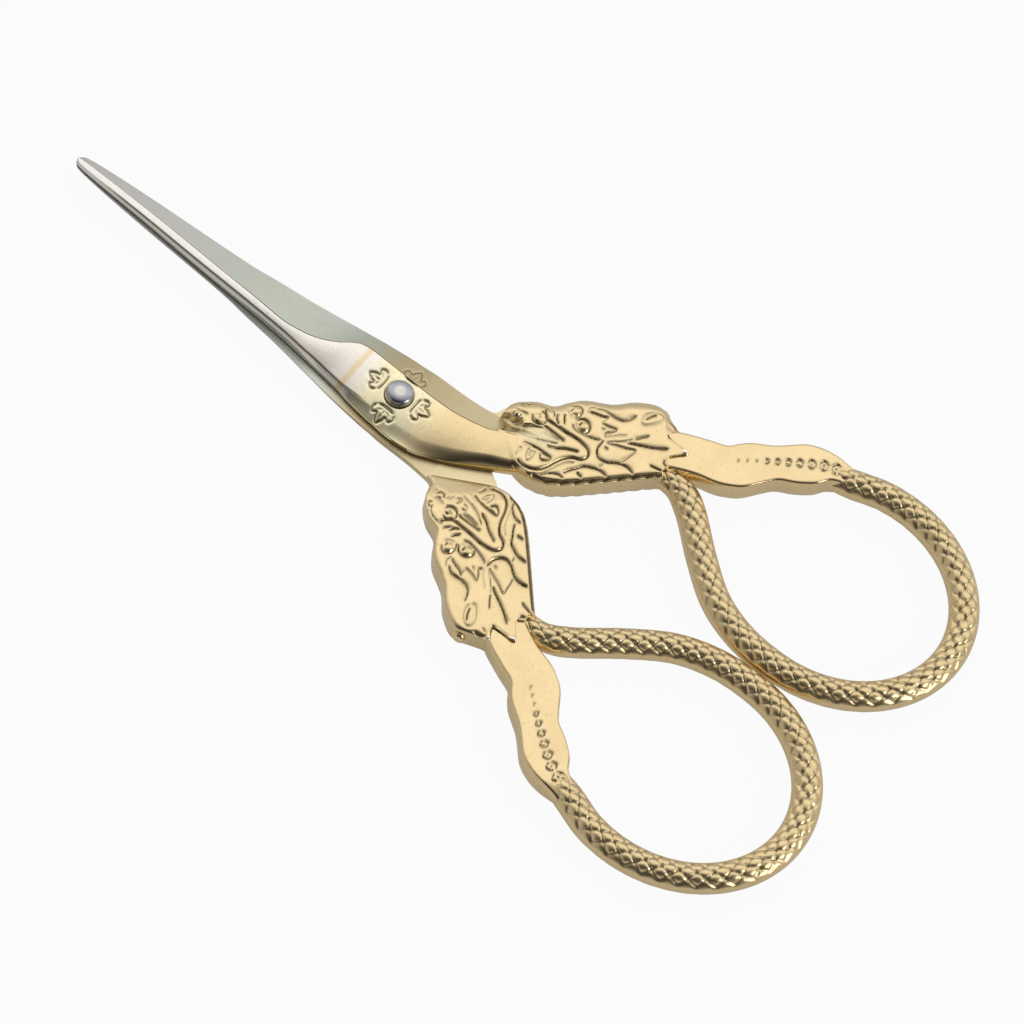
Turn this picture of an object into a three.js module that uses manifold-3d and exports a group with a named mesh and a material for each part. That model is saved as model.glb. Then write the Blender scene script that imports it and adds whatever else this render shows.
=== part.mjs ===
// Gilt embroidery scissors: two lapped halves, each a blade, a dragon's head, a wavy plate and a
// scaled finger loop in one forging, and the rivet that they turn on.
//
// Millimetres. The blades point along +X and +Z is up, as the closed scissors lie on a table. The
// origin is the centre of the rivet's tail, level with the undersides of the heads. One half is
// modelled with its lapped face at z = 0 and its handle on the -Y side, and the other half is the
// same forging turned over about the long axis.

import * as THREE from 'three';
import Module from 'manifold-3d';

// Driving dimensions

const TIP_REACH = 46.85; // pivot to blade tip
const NECK_REACH = 11.5; // pivot to the front of the head, along X
const PIVOT_HALF_WIDTH = 5.2; // pivot to the ground edge beside it
const LAYER = 1.6; // thickness of one half where the two are lapped
const LAP_GAP = 0.1; // between the two lapped faces
const EDGE_LAND = 0.8; // thickness left at the ground edge beside the pivot
const EDGE_KEEN = 0.22; // thickness left at the cutting edge
const BACK_DRAFT = 0.97; // share of the roll over to the back that its top edge reaches

const HEAD_LENGTH = 20.0; // from the middle of the shoulder to the middle of the tufts
const HEAD_ANGLE = 34.8; // between the head's long axis and the blades, in degrees
const HEAD_FRONT_OFFSET = 3.6; // from the blades' axis out to the middle of the shoulder
const CREST_HALF = 1.2; // thickness left along the crest, above the lapped face
const CREST_SLOPE = 1.6; // how far in from the crest that face slopes
const CREST_UNDER_HALF = 1.75; // thickness left along the crest, below the lapped face
const CREST_UNDER_SLOPE = 0.6; // how far in from the crest that face slopes
const THROAT_ROUND = 0.5; // rounding of the throat's two edges
const NECK_ROUND = 1.4; // how wide the throat's rounding is where the neck runs into it
const FRONT_ROUND = 0.9; // rounding of the head's front, on the face turned from the neck
const GROOVE_HALF = 0.2; // half the width of a carved line
const GROOVE_DEPTH = 0.28; // of a carved line

const PLATE_HALF = 1.5; // half the thickness of the wavy plate
const PLATE_BEVEL = 0.3; // small bevel round the plate

const TUBE_RADIUS = 1.75; // finger loop's bar
const TUBE_ROOT_RADIUS = 1.45; // the bar where it leaves the head or the plate
const LOOP_CENTRE_X = -51.9;
const LOOP_HALF_LENGTH = 14.5; // along X, to the middle of the bar
const LOOP_HALF_WIDTH = 13.1; // along Y, to the middle of the bar
const LOOP_GAP = 0.25; // left between the two loops when they close on each other
const SCALE_PITCH = 1.95; // finger loop's scales, along the bar
const SCALE_SINK = 0.2; // how deep the corners between four scales are sunk

const RIVET_RADIUS = 1.0;
const RIVET_CLEARANCE = 0.08; // round the rivet and under its head and tail
const RIVET_HEAD_RADIUS = 1.55;
const RIVET_HEAD_HEIGHT = 0.65;
const RIVET_LAND_RADIUS = 0.6; // flat worn on the top of the head
const RIVET_TAIL_RADIUS = 1.5;
const RIVET_TAIL_HEIGHT = 0.27;
const RIVET_TAIL_FLAT = 0.8; // share of the tail's radius that is flat underneath

const BLADE_STATIONS = 38;
const NECK_STATIONS = 24;
const HEAD_STATIONS = 34;
const PLATE_STATIONS = 30;
const GROOVE_STEPS = 2; // between two points of a carved line
const TUBE_SIDES = 12; // two to a scale
const ROUND_SIDES = 40; // rivet and bores

// The rivet's tail and the heads stand on the same table, so the layers set the heads' thickness.
const RIVET_SEAT = LAP_GAP / 2 + LAYER + RIVET_CLEARANCE; // from the lap to the head's underside
const LAP_HEIGHT = RIVET_SEAT + RIVET_TAIL_HEIGHT; // the lap's height above the table
const HEAD_HALF = LAP_HEIGHT; // half the thickness of a dragon's head

// Curves

const lerp = (a, b, t) => a + (b - a) * t;

// A function of one value that runs smoothly through its knots and never overshoots between them.
function through(knots) {
  const x = knots.map((k) => k[0]);
  const y = knots.map((k) => k[1]);
  const last = x.length - 1;
  const slope = x.slice(1).map((_, i) => (y[i + 1] - y[i]) / (x[i + 1] - x[i]));
  const tangent = x.map((_, i) => {
    if (i === 0) return slope[0];
    if (i === last) return slope[last - 1];
    if (slope[i - 1] * slope[i] <= 0) return 0;
    return (2 * slope[i - 1] * slope[i]) / (slope[i - 1] + slope[i]);
  });
  return (at) => {
    const here = Math.min(Math.max(at, x[0]), x[last]);
    let i = 0;
    while (i < last - 1 && here > x[i + 1]) i += 1;
    const width = x[i + 1] - x[i];
    const t = (here - x[i]) / width;
    const rise = y[i] * (1 + 2 * t) * (1 - t) ** 2 + y[i + 1] * (3 - 2 * t) * t * t;
    return rise + width * (tangent[i] * t * (1 - t) ** 2 - tangent[i + 1] * (1 - t) * t * t);
  };
}

const curveThrough = (points) => new THREE.SplineCurve(points.map(([x, y]) => new THREE.Vector2(x, y)));

// Solids

const wasm = await Module();
wasm.setup();

// A closed body through rings of points, capped at both ends. A quilted one turns the diagonal of
// every other face, so that its facets meet in raised points, as scales do.
function loft(rings, quilted = false) {
  const sides = rings[0].length;
  const vertices = rings.flat().flatMap((p) => [p.x, p.y, p.z]);
  const faces = [];
  for (let i = 0; i + 1 < rings.length; i += 1) {
    for (let j = 0; j < sides; j += 1) {
      const k = (j + 1) % sides;
      const [a, b, c, d] = [i * sides + j, i * sides + k, (i + 1) * sides + k, (i + 1) * sides + j];
      const turned = quilted && (i + j) % 2 === 0;
      faces.push(...(turned ? [a, b, d, b, c, d] : [a, b, c, a, c, d]));
    }
  }
  for (const end of [0, rings.length - 1]) {
    const middle = rings[end].reduce((sum, p) => sum.add(p), new THREE.Vector3()).divideScalar(sides);
    const hub = vertices.length / 3;
    vertices.push(middle.x, middle.y, middle.z);
    for (let j = 0; j < sides; j += 1) {
      const [a, b] = [end * sides + j, end * sides + ((j + 1) % sides)];
      faces.push(...(end === 0 ? [hub, b, a] : [hub, a, b]));
    }
  }
  return solid(vertices, faces);
}

function solid(vertices, faces) {
  const mesh = { numProp: 3, vertProperties: new Float32Array(vertices), triVerts: new Uint32Array(faces) };
  return new wasm.Manifold(new wasm.Mesh(mesh));
}

// A three.js geometry as a solid: its shared corners are welded by their place.
function asSolid(geometry) {
  const places = geometry.getAttribute('position');
  const found = new Map();
  const vertices = [];
  const corner = (i) => {
    const place = [places.getX(i), places.getY(i), places.getZ(i)];
    const key = place.map((value) => Math.round(value * 1e4)).join();
    if (!found.has(key)) {
      found.set(key, vertices.length / 3);
      vertices.push(...place);
    }
    return found.get(key);
  };
  const order = geometry.index ? Array.from(geometry.index.array) : [...Array(places.count).keys()];
  const faces = [];
  for (let i = 0; i < order.length; i += 3) {
    const [a, b, c] = [corner(order[i]), corner(order[i + 1]), corner(order[i + 2])];
    if (a !== b && b !== c && c !== a) faces.push(a, b, c);
  }
  return solid(vertices, faces);
}

function asGeometry(body) {
  const { vertProperties, triVerts } = body.getMesh();
  const geometry = new THREE.BufferGeometry();
  geometry.setAttribute('position', new THREE.BufferAttribute(vertProperties, 3));
  geometry.setIndex(new THREE.BufferAttribute(triVerts, 1));
  geometry.computeVertexNormals();
  return geometry;
}

// Blade and neck: one loft along X. A knot's first value is a place on the X axis: a share of the
// reach to the tip past the pivot, or of the reach to the head, below zero, behind it.

const NECK_END = -1.4;
const alongBlade = (share) => share * (share < 0 ? NECK_REACH : TIP_REACH);

// Widths, as shares of the half width beside the pivot.
const groundEdge = through([
  [NECK_END, -1.08], [-0.85, -1.1], [-0.7, -1.05], [-0.43, -1.01], [0, -1], [0.107, -0.93],
  [0.214, -0.8], [0.32, -0.66], [0.427, -0.555], [0.49, -0.48], [0.75, -0.335], [0.96, -0.185],
  [0.988, -0.135], [1, -0.04],
]);
const back = through([
  [NECK_END, -0.31], [-1.22, -0.05], [-1.04, 0.2], [-0.87, 0.43], [-0.7, 0.625], [-0.43, 0.856],
  [-0.17, 0.9], [0, 0.885], [0.107, 0.84], [0.214, 0.7], [0.32, 0.55], [0.427, 0.46], [0.75, 0.27],
  [0.96, 0.155], [0.988, 0.115], [1, 0.03],
]);
// The ridge between the ground face and the polished side, as a share of the way from the ground
// edge to the back: it follows the edge past the pivot and then sweeps across the blade.
const ridgeSweep = through([
  [NECK_END, 0.06], [-1.22, 0.12], [-1.04, 0.25], [-0.87, 0.34], [-0.43, 0.31], [0, 0.296],
  [0.128, 0.27], [0.16, 0.3], [0.192, 0.46], [0.235, 0.63], [0.278, 0.74], [0.342, 0.82],
  [0.427, 0.79], [0.64, 0.71], [0.854, 0.61], [1, 0.5],
]);
// The polished side rolls over to the back: how wide the roll is, and how full its curve. A
// fullness of 2 is round and 1 is a straight bevel.
const rollWidth = through([
  [NECK_END, 0.22], [-1.04, 0.28], [-0.35, 0.3], [0, 0.24], [0.107, 0.135], [0.214, 0.125],
  [0.427, 0.05], [1, 0.04],
]);
const rollFullness = through([[NECK_END, 1.6], [-0.35, 1.6], [0, 1.3], [0.107, 1.15], [1, 1.15]]);
const WIDEST_ROLL = 0.6; // share of the polished side that the roll takes at most
const ROLL_DEGREES = [0, 35, 60, 90];
// Heights, as shares of the layer at the pivot, and how far the polished side falls to the roll.
const ridgeHeight = through([
  [NECK_END, 0.95], [-1.2, 1.1], [-1.04, 1.2], [-0.52, 1.06], [-0.17, 1], [0.17, 1], [0.427, 0.92],
  [0.75, 0.66], [0.96, 0.42], [1, 0.3],
]);
const crown = through([[NECK_END, 0.08], [-1.04, 0.16], [-0.6, 0.14], [-0.25, 0.04], [-0.15, 0], [1, 0]]);
const backHeight = through([[NECK_END, 0.3], [-0.35, 0.32], [0, 0.3], [0.427, 0.25], [0.75, 0.2], [1, 0.1]]);
const landHeight = through([[NECK_END, EDGE_LAND], [0.14, EDGE_LAND], [0.3, EDGE_KEEN], [1, EDGE_KEEN]]);

function bladeRing(share) {
  const edge = groundEdge(share) * PIVOT_HALF_WIDTH;
  const rear = back(share) * PIVOT_HALF_WIDTH;
  const ridge = lerp(edge, rear, ridgeSweep(share));
  const roll = rear - Math.min(rollWidth(share) * PIVOT_HALF_WIDTH, WIDEST_ROLL * (rear - ridge));
  const lap = LAP_GAP / 2;
  const top = lap + ridgeHeight(share) * LAYER;
  const brow = top - crown(share) * LAYER;
  const shoulder = lap + backHeight(share) * LAYER;
  const power = 2 / rollFullness(share);
  const rolled = ROLL_DEGREES.map((degrees) => {
    const angle = THREE.MathUtils.degToRad(degrees);
    const [out, up] = [Math.sin(angle) ** power, Math.cos(angle) ** power];
    return [lerp(roll, rear, BACK_DRAFT * out), lerp(shoulder, brow, up)];
  });
  const land = lap + landHeight(share);
  const section = [[edge, lap], [edge, land], [ridge, top], ...rolled, [rear, lap]];
  return section.reverse().map(([y, z]) => new THREE.Vector3(alongBlade(share), y, z));
}

function bladeAndNeck() {
  const steps = [];
  for (let i = 0; i < NECK_STATIONS; i += 1) steps.push(lerp(NECK_END, 0, i / NECK_STATIONS));
  for (let i = 0; i <= BLADE_STATIONS; i += 1) {
    const t = i / BLADE_STATIONS;
    steps.push(lerp(t, Math.sin((t * Math.PI) / 2), 0.25));
  }
  return loft(steps.map(bladeRing));
}

// Dragon's head: a loft between the outline of its crest and the outline of its throat. The
// outlines are shares of the head's length, along its axis and out from it.

const headTurn = THREE.MathUtils.degToRad(HEAD_ANGLE);
const headAxis = new THREE.Vector2(-Math.cos(headTurn), -Math.sin(headTurn));
const headOut = new THREE.Vector2(-headAxis.y, headAxis.x);
const headFront = new THREE.Vector2(-NECK_REACH, -HEAD_FRONT_OFFSET);

function onHead([along, out]) {
  const place = headFront.clone().addScaledVector(headAxis, along * HEAD_LENGTH);
  return place.addScaledVector(headOut, out * HEAD_LENGTH);
}

const crestLine = curveThrough([
  [-0.073, 0.16], [-0.015, 0.156], [0.031, 0.19], [0.1, 0.233], [0.209, 0.249], [0.308, 0.234],
  [0.386, 0.266], [0.485, 0.295], [0.64, 0.29], [0.77, 0.321], [0.905, 0.31], [0.98, 0.225],
  [1.039, 0.14],
].map(onHead));
const throatLine = curveThrough([
  [0.074, -0.173], [0.132, -0.225], [0.218, -0.268], [0.311, -0.291], [0.445, -0.275],
  [0.662, -0.225], [0.883, -0.172], [0.945, -0.162],
].map(onHead));

// Tufts of mane lengthen or shorten the head's end, from the crest across to the throat.
const TUFT_START = 0.86;
const tufts = through([[0, 0], [0.13, -0.06], [0.46, 0.08], [0.6, -0.025], [0.76, 0], [0.87, -0.02], [1, 0]]);
// How much of the front's rounding is left, along the head.
const frontRounding = through([[0, 1], [0.02, 0.4], [0.05, 0.08], [0.08, 0]]);
const NOTCH_DEPTH = 0.24; // of the line that follows the throat
const NOTCH_START = [0.12, 0.28]; // where along the head it deepens from nothing
const FLAT_POINTS = [0.3, 0.46, 0.6, 0.76]; // across the head's flat, from crest to throat

function headRing(share) {
  const { smoothstep } = THREE.MathUtils;
  const crest = crestLine.getPointAt(share);
  const throat = throatLine.getPointAt(share);
  const width = crest.distanceTo(throat);
  const front = FRONT_ROUND * frontRounding(share);
  const notch = NOTCH_DEPTH * smoothstep(share, ...NOTCH_START);
  const face = (crestHalf, slope, full, round) => [
    [0, crestHalf],
    [0.5 * slope, lerp(crestHalf, full, 0.75)],
    [slope, full],
    ...FLAT_POINTS.map((t) => [t * width, full]),
    [width - round, full],
    [width - 0.75 * round, full - 0.1 * THROAT_ROUND - notch],
    [width - 0.4 * round, full - 0.3 * THROAT_ROUND],
    [width, full - THROAT_ROUND],
  ];
  const at = ([across, z]) => {
    const t = across / width;
    const grown = tufts(t) * HEAD_LENGTH * smoothstep(share, TUFT_START, 1);
    const place = crest.clone().lerp(throat, t).addScaledVector(headAxis, grown);
    return new THREE.Vector3(place.x, place.y, z);
  };
  const round = lerp(NECK_ROUND, THROAT_ROUND, smoothstep(share, 0, 0.25));
  const above = face(CREST_HALF, CREST_SLOPE, HEAD_HALF, round).map(at);
  const below = face(CREST_UNDER_HALF - front, CREST_UNDER_SLOPE, HEAD_HALF - front, THROAT_ROUND);
  return [...above, ...below.map(([across, z]) => at([across, -z])).reverse()];
}

// The neck's ground face runs on between the jaw and the snout, on the lapped side only. Each
// station is its jaw side, its snout side and how far the face is sunk there.
const GROUND_RUN = [
  [[-0.189, 0.07], [-0.032, 0.26], 0.9], [[-0.095, 0.039], [0.077, 0.251], 0.9],
  [[-0.052, 0.03], [0.047, 0.186], 0.9], [[-0.016, 0.02], [0.03, 0.131], 0.88],
  [[0.025, 0.01], [0.081, 0.117], 0.84], [[0.068, 0.001], [0.132, 0.085], 0.76],
  [[0.112, -0.014], [0.179, 0.083], 0.6], [[0.159, -0.034], [0.254, 0.067], 0.4],
  [[0.206, -0.055], [0.296, 0.032], 0.18], [[0.243, -0.071], [0.34, -0.011], 0.02],
];
const RUN_FOOT = 0.45; // share of the way to the snout over which the face slopes down

function groundRun() {
  return loft(GROUND_RUN.map(([jawSide, snoutSide, sunk]) => {
    const [jaw, snout] = [onHead(jawSide), onHead(snoutSide)];
    const foot = jaw.clone().lerp(snout, RUN_FOOT);
    const section = [
      [snout, HEAD_HALF + LAYER], [jaw, HEAD_HALF + LAYER], [jaw, HEAD_HALF],
      [foot, HEAD_HALF - sunk], [snout, HEAD_HALF - sunk],
    ];
    return section.map(([place, z]) => new THREE.Vector3(place.x, place.y, z));
  }));
}

// Carved lines, the same on both faces of the head
const CARVED = {
  mouth: [
    [0.258, 0.17], [0.27, 0.134], [0.374, 0.057], [0.484, -0.014], [0.51, -0.081], [0.472, -0.109],
    [0.397, -0.112], [0.341, -0.14], [0.291, -0.178], [0.244, -0.212],
  ],
  lip: [[0.266, -0.038], [0.337, -0.058], [0.398, -0.058], [0.469, -0.061]],
  gill: [[0.27, -0.235], [0.328, -0.203], [0.407, -0.185], [0.491, -0.152], [0.542, -0.158], [0.626, -0.204]],
  jowl: [
    [0.585, 0.044], [0.559, -0.011], [0.552, -0.055], [0.585, -0.096], [0.633, -0.105], [0.693, -0.116],
    [0.774, -0.166],
  ],
  cheek: [[0.602, 0.026], [0.705, 0.033], [0.801, 0.022], [0.874, 0.014], [0.96, 0.02]],
  brow: [[0.514, 0.2], [0.61, 0.205], [0.665, 0.177], [0.711, 0.182], [0.77, 0.2]],
};
const EYE = [0.481, 0.104];
const EYE_RADIUS = 0.04;
CARVED.eye = [0, 90, 180, 270, 350].map((degrees) => {
  const angle = THREE.MathUtils.degToRad(degrees);
  return [EYE[0] + EYE_RADIUS * Math.cos(angle), EYE[1] + EYE_RADIUS * Math.sin(angle)];
});

// A V cut along a smooth curve in the face on one side of the head, shallower at its ends.
const ENDS_DEPTH = 0.4; // share of the depth left at the ends
function groove(points, side) {
  const line = curveThrough(points.map(onHead));
  const steps = GROOVE_STEPS * (points.length - 1);
  const rings = [];
  for (let i = 0; i <= steps; i += 1) {
    const middle = line.getPointAt(i / steps);
    const way = line.getTangentAt(i / steps);
    const taper = Math.min(1, ENDS_DEPTH * (1 + Math.min(i, steps - i) / GROOVE_STEPS));
    const reach = 2 * GROOVE_HALF * taper;
    const deep = GROOVE_DEPTH * taper;
    const corners = [[reach, deep], [-reach, deep], [0, -deep]].map(([left, up]) => new THREE.Vector3(
      middle.x - left * way.y,
      middle.y + left * way.x,
      side * (HEAD_HALF + up),
    ));
    rings.push(side > 0 ? corners : corners.reverse());
  }
  return loft(rings);
}

function head() {
  const block = loft([...Array(HEAD_STATIONS + 1).keys()].map((i) => headRing(i / HEAD_STATIONS)));
  const lines = Object.values(CARVED).flatMap((points) => [groove(points, 1), groove(points, -1)]);
  return lines.reduce((carved, line) => carved.subtract(line), block.subtract(groundRun()));
}

// Finger loop: a round bar that leaves the head's throat, runs round an ellipse and ends in the
// plate. Its closing side stops half the gap short of the blades' axis.

const loopCentre = new THREE.Vector2(LOOP_CENTRE_X, -(LOOP_HALF_WIDTH + TUBE_RADIUS + LOOP_GAP / 2));

// A place on the ellipse, in degrees from the side that faces the other loop, by way of the far end.
function onLoop(degrees) {
  const angle = THREE.MathUtils.degToRad(degrees);
  return new THREE.Vector2(
    loopCentre.x - LOOP_HALF_LENGTH * Math.sin(angle),
    loopCentre.y + LOOP_HALF_WIDTH * Math.cos(angle),
  );
}

const LOOP_END = 208; // degrees round the ellipse where the bar meets the plate
const ARC_POINTS = 13;
const BAR_SUNK = 4.2; // how far the bar runs on into the plate
const ROOT_TAPER = 4.5; // how far each end of the bar tapers
const barStart = onHead([0.95, -0.105]);
const plateEnd = onLoop(LOOP_END);

// The straight run from the head to the ellipse, as shares of the way along each axis.
const landing = onLoop(0);
const barRun = [
  [0, 0], [0.115, 0.02], [0.23, 0.17], [0.41, 0.51], [0.6, 0.81], [0.8, 0.965],
].map(([x, y]) => new THREE.Vector2(lerp(barStart.x, landing.x, x), lerp(barStart.y, landing.y, y)));
const barArc = [];
for (let i = 0; i <= ARC_POINTS; i += 1) barArc.push(onLoop((LOOP_END * i) / ARC_POINTS));

// Scales cover the top and the underside in a lattice and leave the bar's two sides smooth.
function fingerLoop() {
  const intoPlate = plateEnd.clone().sub(barArc.at(-2)).setLength(BAR_SUNK);
  const line = new THREE.SplineCurve([...barRun, ...barArc, plateEnd.clone().add(intoPlate)]);
  const rootShare = ROOT_TAPER / line.getLength();
  const stations = 2 * Math.round(line.getLength() / SCALE_PITCH);
  const rings = [];
  for (let i = 0; i <= stations; i += 1) {
    const share = i / stations;
    const middle = line.getPointAt(share);
    const way = line.getTangentAt(share);
    const nearRoot = Math.min(share, 1 - share) / rootShare;
    const radius = lerp(TUBE_ROOT_RADIUS, TUBE_RADIUS, THREE.MathUtils.smoothstep(nearRoot, 0, 1));
    const ring = [];
    for (let j = 0; j < TUBE_SIDES; j += 1) {
      const angle = (2 * Math.PI * j) / TUBE_SIDES;
      const corner = (i + j) % 2;
      const sunk = corner * SCALE_SINK * THREE.MathUtils.smoothstep(Math.abs(Math.sin(angle)), 0.3, 0.72);
      const reach = radius - sunk;
      const out = reach * Math.cos(angle);
      ring.push(new THREE.Vector3(middle.x - out * way.y, middle.y + out * way.x, reach * Math.sin(angle)));
    }
    rings.push(ring);
  }
  return loft(rings, true);
}

// Wavy plate: a bevelled loft from the back of the head to the end of the bar. Its two edges are
// shares of that distance, along it and out from it.

const plateRoot = onHead([1, 0.0]);
const plateAxis = plateEnd.clone().sub(plateRoot);
const plateOut = new THREE.Vector2(-plateAxis.y, plateAxis.x);

function onPlate([along, out]) {
  return plateRoot.clone().addScaledVector(plateAxis, along).addScaledVector(plateOut, out);
}

const outerWave = curveThrough([
  [-0.1, 0.12], [-0.02, 0.15], [0.05, 0.156], [0.187, 0.134], [0.29, 0.114], [0.353, 0.134],
  [0.42, 0.15], [0.54, 0.152], [0.62, 0.166], [0.72, 0.187], [0.8, 0.178], [0.87, 0.153], [1, 0.083],
  [1.08, 0.055],
].map(onPlate));
const innerWave = curveThrough([
  [-0.15, -0.09], [0, -0.095], [0.12, -0.113], [0.24, -0.15], [0.33, -0.158], [0.403, -0.148],
  [0.511, -0.103], [0.58, -0.081], [0.68, -0.085], [0.785, -0.072], [0.87, -0.039], [1, -0.05],
  [1.08, -0.05],
].map(onPlate));

function plateRing(share) {
  const outer = outerWave.getPointAt(share);
  const inner = innerWave.getPointAt(share);
  const width = outer.distanceTo(inner);
  const rim = PLATE_HALF - PLATE_BEVEL;
  const section = [
    [0, rim], [PLATE_BEVEL, PLATE_HALF], [width - PLATE_BEVEL, PLATE_HALF], [width, rim],
    [width, -rim], [width - PLATE_BEVEL, -PLATE_HALF], [PLATE_BEVEL, -PLATE_HALF], [0, -rim],
  ];
  return section.map(([across, z]) => {
    const place = outer.clone().lerp(inner, across / width);
    return new THREE.Vector3(place.x, place.y, z);
  });
}

function plate() {
  return loft([...Array(PLATE_STATIONS + 1).keys()].map((i) => plateRing(i / PLATE_STATIONS)));
}

// Rivet, upright on Z: a flat tail, a plain shank through both layers and a domed head.

function pivotRivet() {
  const tail = RIVET_TAIL_HEIGHT;
  const seat = LAP_HEIGHT + RIVET_SEAT;
  const profile = [
    [0, 0],
    [RIVET_TAIL_FLAT * RIVET_TAIL_RADIUS, 0],
    [RIVET_TAIL_RADIUS, 0.6 * tail],
    [RIVET_TAIL_RADIUS, tail],
    [RIVET_RADIUS, tail],
    [RIVET_RADIUS, seat],
    [RIVET_HEAD_RADIUS, seat],
    [RIVET_HEAD_RADIUS, seat + 0.3 * RIVET_HEAD_HEIGHT],
    [0.86 * RIVET_HEAD_RADIUS, seat + 0.7 * RIVET_HEAD_HEIGHT],
    [RIVET_LAND_RADIUS, seat + RIVET_HEAD_HEIGHT],
    [0, seat + RIVET_HEAD_HEIGHT],
  ];
  const outline = profile.map(([r, z]) => new THREE.Vector2(r, z));
  return new THREE.LatheGeometry(outline, ROUND_SIDES).rotateX(Math.PI / 2);
}

function half() {
  const radius = RIVET_RADIUS + RIVET_CLEARANCE;
  const bore = new THREE.CylinderGeometry(radius, radius, 4 * LAYER, ROUND_SIDES).rotateX(Math.PI / 2);
  return bladeAndNeck().subtract(asSolid(bore)).add(head()).add(plate()).add(fingerLoop());
}

// Assembly

const gilt = new THREE.MeshStandardMaterial({ color: 0xd9b777, roughness: 0.28, metalness: 1 });
const steel = new THREE.MeshStandardMaterial({ color: 0xb4b6b8, roughness: 0.25, metalness: 1 });

function named(name, geometry, material) {
  const mesh = new THREE.Mesh(geometry, material);
  mesh.name = name;
  return mesh;
}

const scissors = new THREE.Group();
const forging = asGeometry(half());

const front = named('front_half', forging, gilt);
front.position.z = LAP_HEIGHT;

const rear = named('rear_half', forging.clone(), gilt);
rear.position.z = LAP_HEIGHT;
rear.rotation.x = Math.PI;

scissors.add(front, rear, named('pivot_rivet', pivotRivet(), steel));

export default scissors;
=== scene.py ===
from math import cos, pi, radians, sin

import bpy
import numpy as np
from mathutils import Matrix, Vector


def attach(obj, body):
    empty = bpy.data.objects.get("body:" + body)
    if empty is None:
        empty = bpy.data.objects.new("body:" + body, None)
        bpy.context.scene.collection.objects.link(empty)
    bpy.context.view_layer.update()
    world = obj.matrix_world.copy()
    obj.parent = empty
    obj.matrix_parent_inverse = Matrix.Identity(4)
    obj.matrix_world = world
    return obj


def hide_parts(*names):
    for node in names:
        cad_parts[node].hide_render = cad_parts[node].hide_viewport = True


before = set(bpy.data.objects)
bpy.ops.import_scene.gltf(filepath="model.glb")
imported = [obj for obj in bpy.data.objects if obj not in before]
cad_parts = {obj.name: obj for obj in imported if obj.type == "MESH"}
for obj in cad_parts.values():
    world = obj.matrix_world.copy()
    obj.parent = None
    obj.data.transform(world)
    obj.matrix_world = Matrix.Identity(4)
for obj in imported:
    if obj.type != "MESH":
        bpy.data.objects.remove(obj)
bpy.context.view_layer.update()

# Gilt embroidery scissors on a white table. Each half is one forging: blade and neck, dragon's
# head, wavy plate and scaled finger loop. It is built in millimetres, with the middle of the lap
# at z = 0, its blade above that and its handle on the -Y side. It is then placed as the front
# half, or turned over about the long axis as the rear half.

MM = 0.001

# Driving dimensions of the forging, in millimetres
TIP_REACH = 46.85
NECK_REACH = 11.5
PIVOT_HALF_WIDTH = 5.2
LAYER = 1.6
LAP_GAP = 0.1
EDGE_LAND = 0.8
EDGE_KEEN = 0.22
BACK_DRAFT = 0.97
HEAD_LENGTH = 20.0
HEAD_ANGLE = 34.8
HEAD_FRONT_OFFSET = 3.6
CREST_HALF = 1.2
CREST_SLOPE = 1.6
CREST_UNDER_HALF = 1.75
CREST_UNDER_SLOPE = 0.6
THROAT_ROUND = 0.5
NECK_ROUND = 1.4
FRONT_ROUND = 1.5
PLATE_HALF = 1.5
TUBE_RADIUS = 1.75
TUBE_ROOT_RADIUS = 1.45
LOOP_CENTRE_X = -51.9
LOOP_HALF_LENGTH = 14.5
LOOP_HALF_WIDTH = 13.1
LOOP_GAP = 0.25
LOOP_END = 208
ARC_POINTS = 13
BAR_SUNK = 4.2
ROOT_TAPER = 4.5
SCALE_PITCH = 1.95
RIVET_RADIUS = 1.0
RIVET_CLEARANCE = 0.08
RIVET_HEAD_RADIUS = 1.55
RIVET_HEAD_HEIGHT = 0.65
RIVET_LAND_RADIUS = 0.6
RIVET_TAIL_RADIUS = 1.5
RIVET_TAIL_HEIGHT = 0.27
RIVET_TAIL_FLAT = 0.8
RIVET_SEAT = LAP_GAP / 2 + LAYER + RIVET_CLEARANCE
LAP_HEIGHT = RIVET_SEAT + RIVET_TAIL_HEIGHT
HEAD_HALF = LAP_HEIGHT

# Forms that several parts of the forging share; the lengths are in millimetres
BARREL = 0.3  # how far the plate's and the throat's side walls belly out
BARREL_POWER = 2.5
RIM_ROUND = 0.35
UNDERLAP = 0.01  # the head lies this far under the neck's surface where the two meet
FLAT_PILLOW = 0.5  # share of the fall beside a stroke on the blade and the plate


# Curves

def lerp(a, b, t):
    return a + (b - a) * t


def smooth(value, low, high):
    t = np.clip((value - low) / (high - low), 0, 1)
    return t * t * (3 - 2 * t)


def rounded(t):
    """Fall of a rounded edge, 0 where it starts to bend and 1 at its end."""
    return 1 - np.sqrt(1 - np.clip(t, 0, 1) ** 2)


def drawn_in(height, half):
    """How far a bellied side wall is drawn in, at a height from its middle."""
    return BARREL * (np.abs(height) / half) ** BARREL_POWER


def through(knots):
    """A function that runs smoothly through its knots and never overshoots between them."""
    x, y = np.array(knots, float).T
    slope = np.diff(y) / np.diff(x)
    tangent = np.concatenate([slope[:1], np.zeros(len(x) - 2), slope[-1:]])
    for i in range(1, len(x) - 1):
        if slope[i - 1] * slope[i] > 0:
            tangent[i] = 2 * slope[i - 1] * slope[i] / (slope[i - 1] + slope[i])

    def at(value):
        here = np.clip(value, x[0], x[-1])
        i = np.clip(np.searchsorted(x, here) - 1, 0, len(x) - 2)
        width = x[i + 1] - x[i]
        t = (here - x[i]) / width
        rise = y[i] * (1 + 2 * t) * (1 - t) ** 2 + y[i + 1] * (3 - 2 * t) * t * t
        return rise + width * (tangent[i] * t * (1 - t) ** 2 - tangent[i + 1] * (1 - t) * t * t)

    return at


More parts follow.
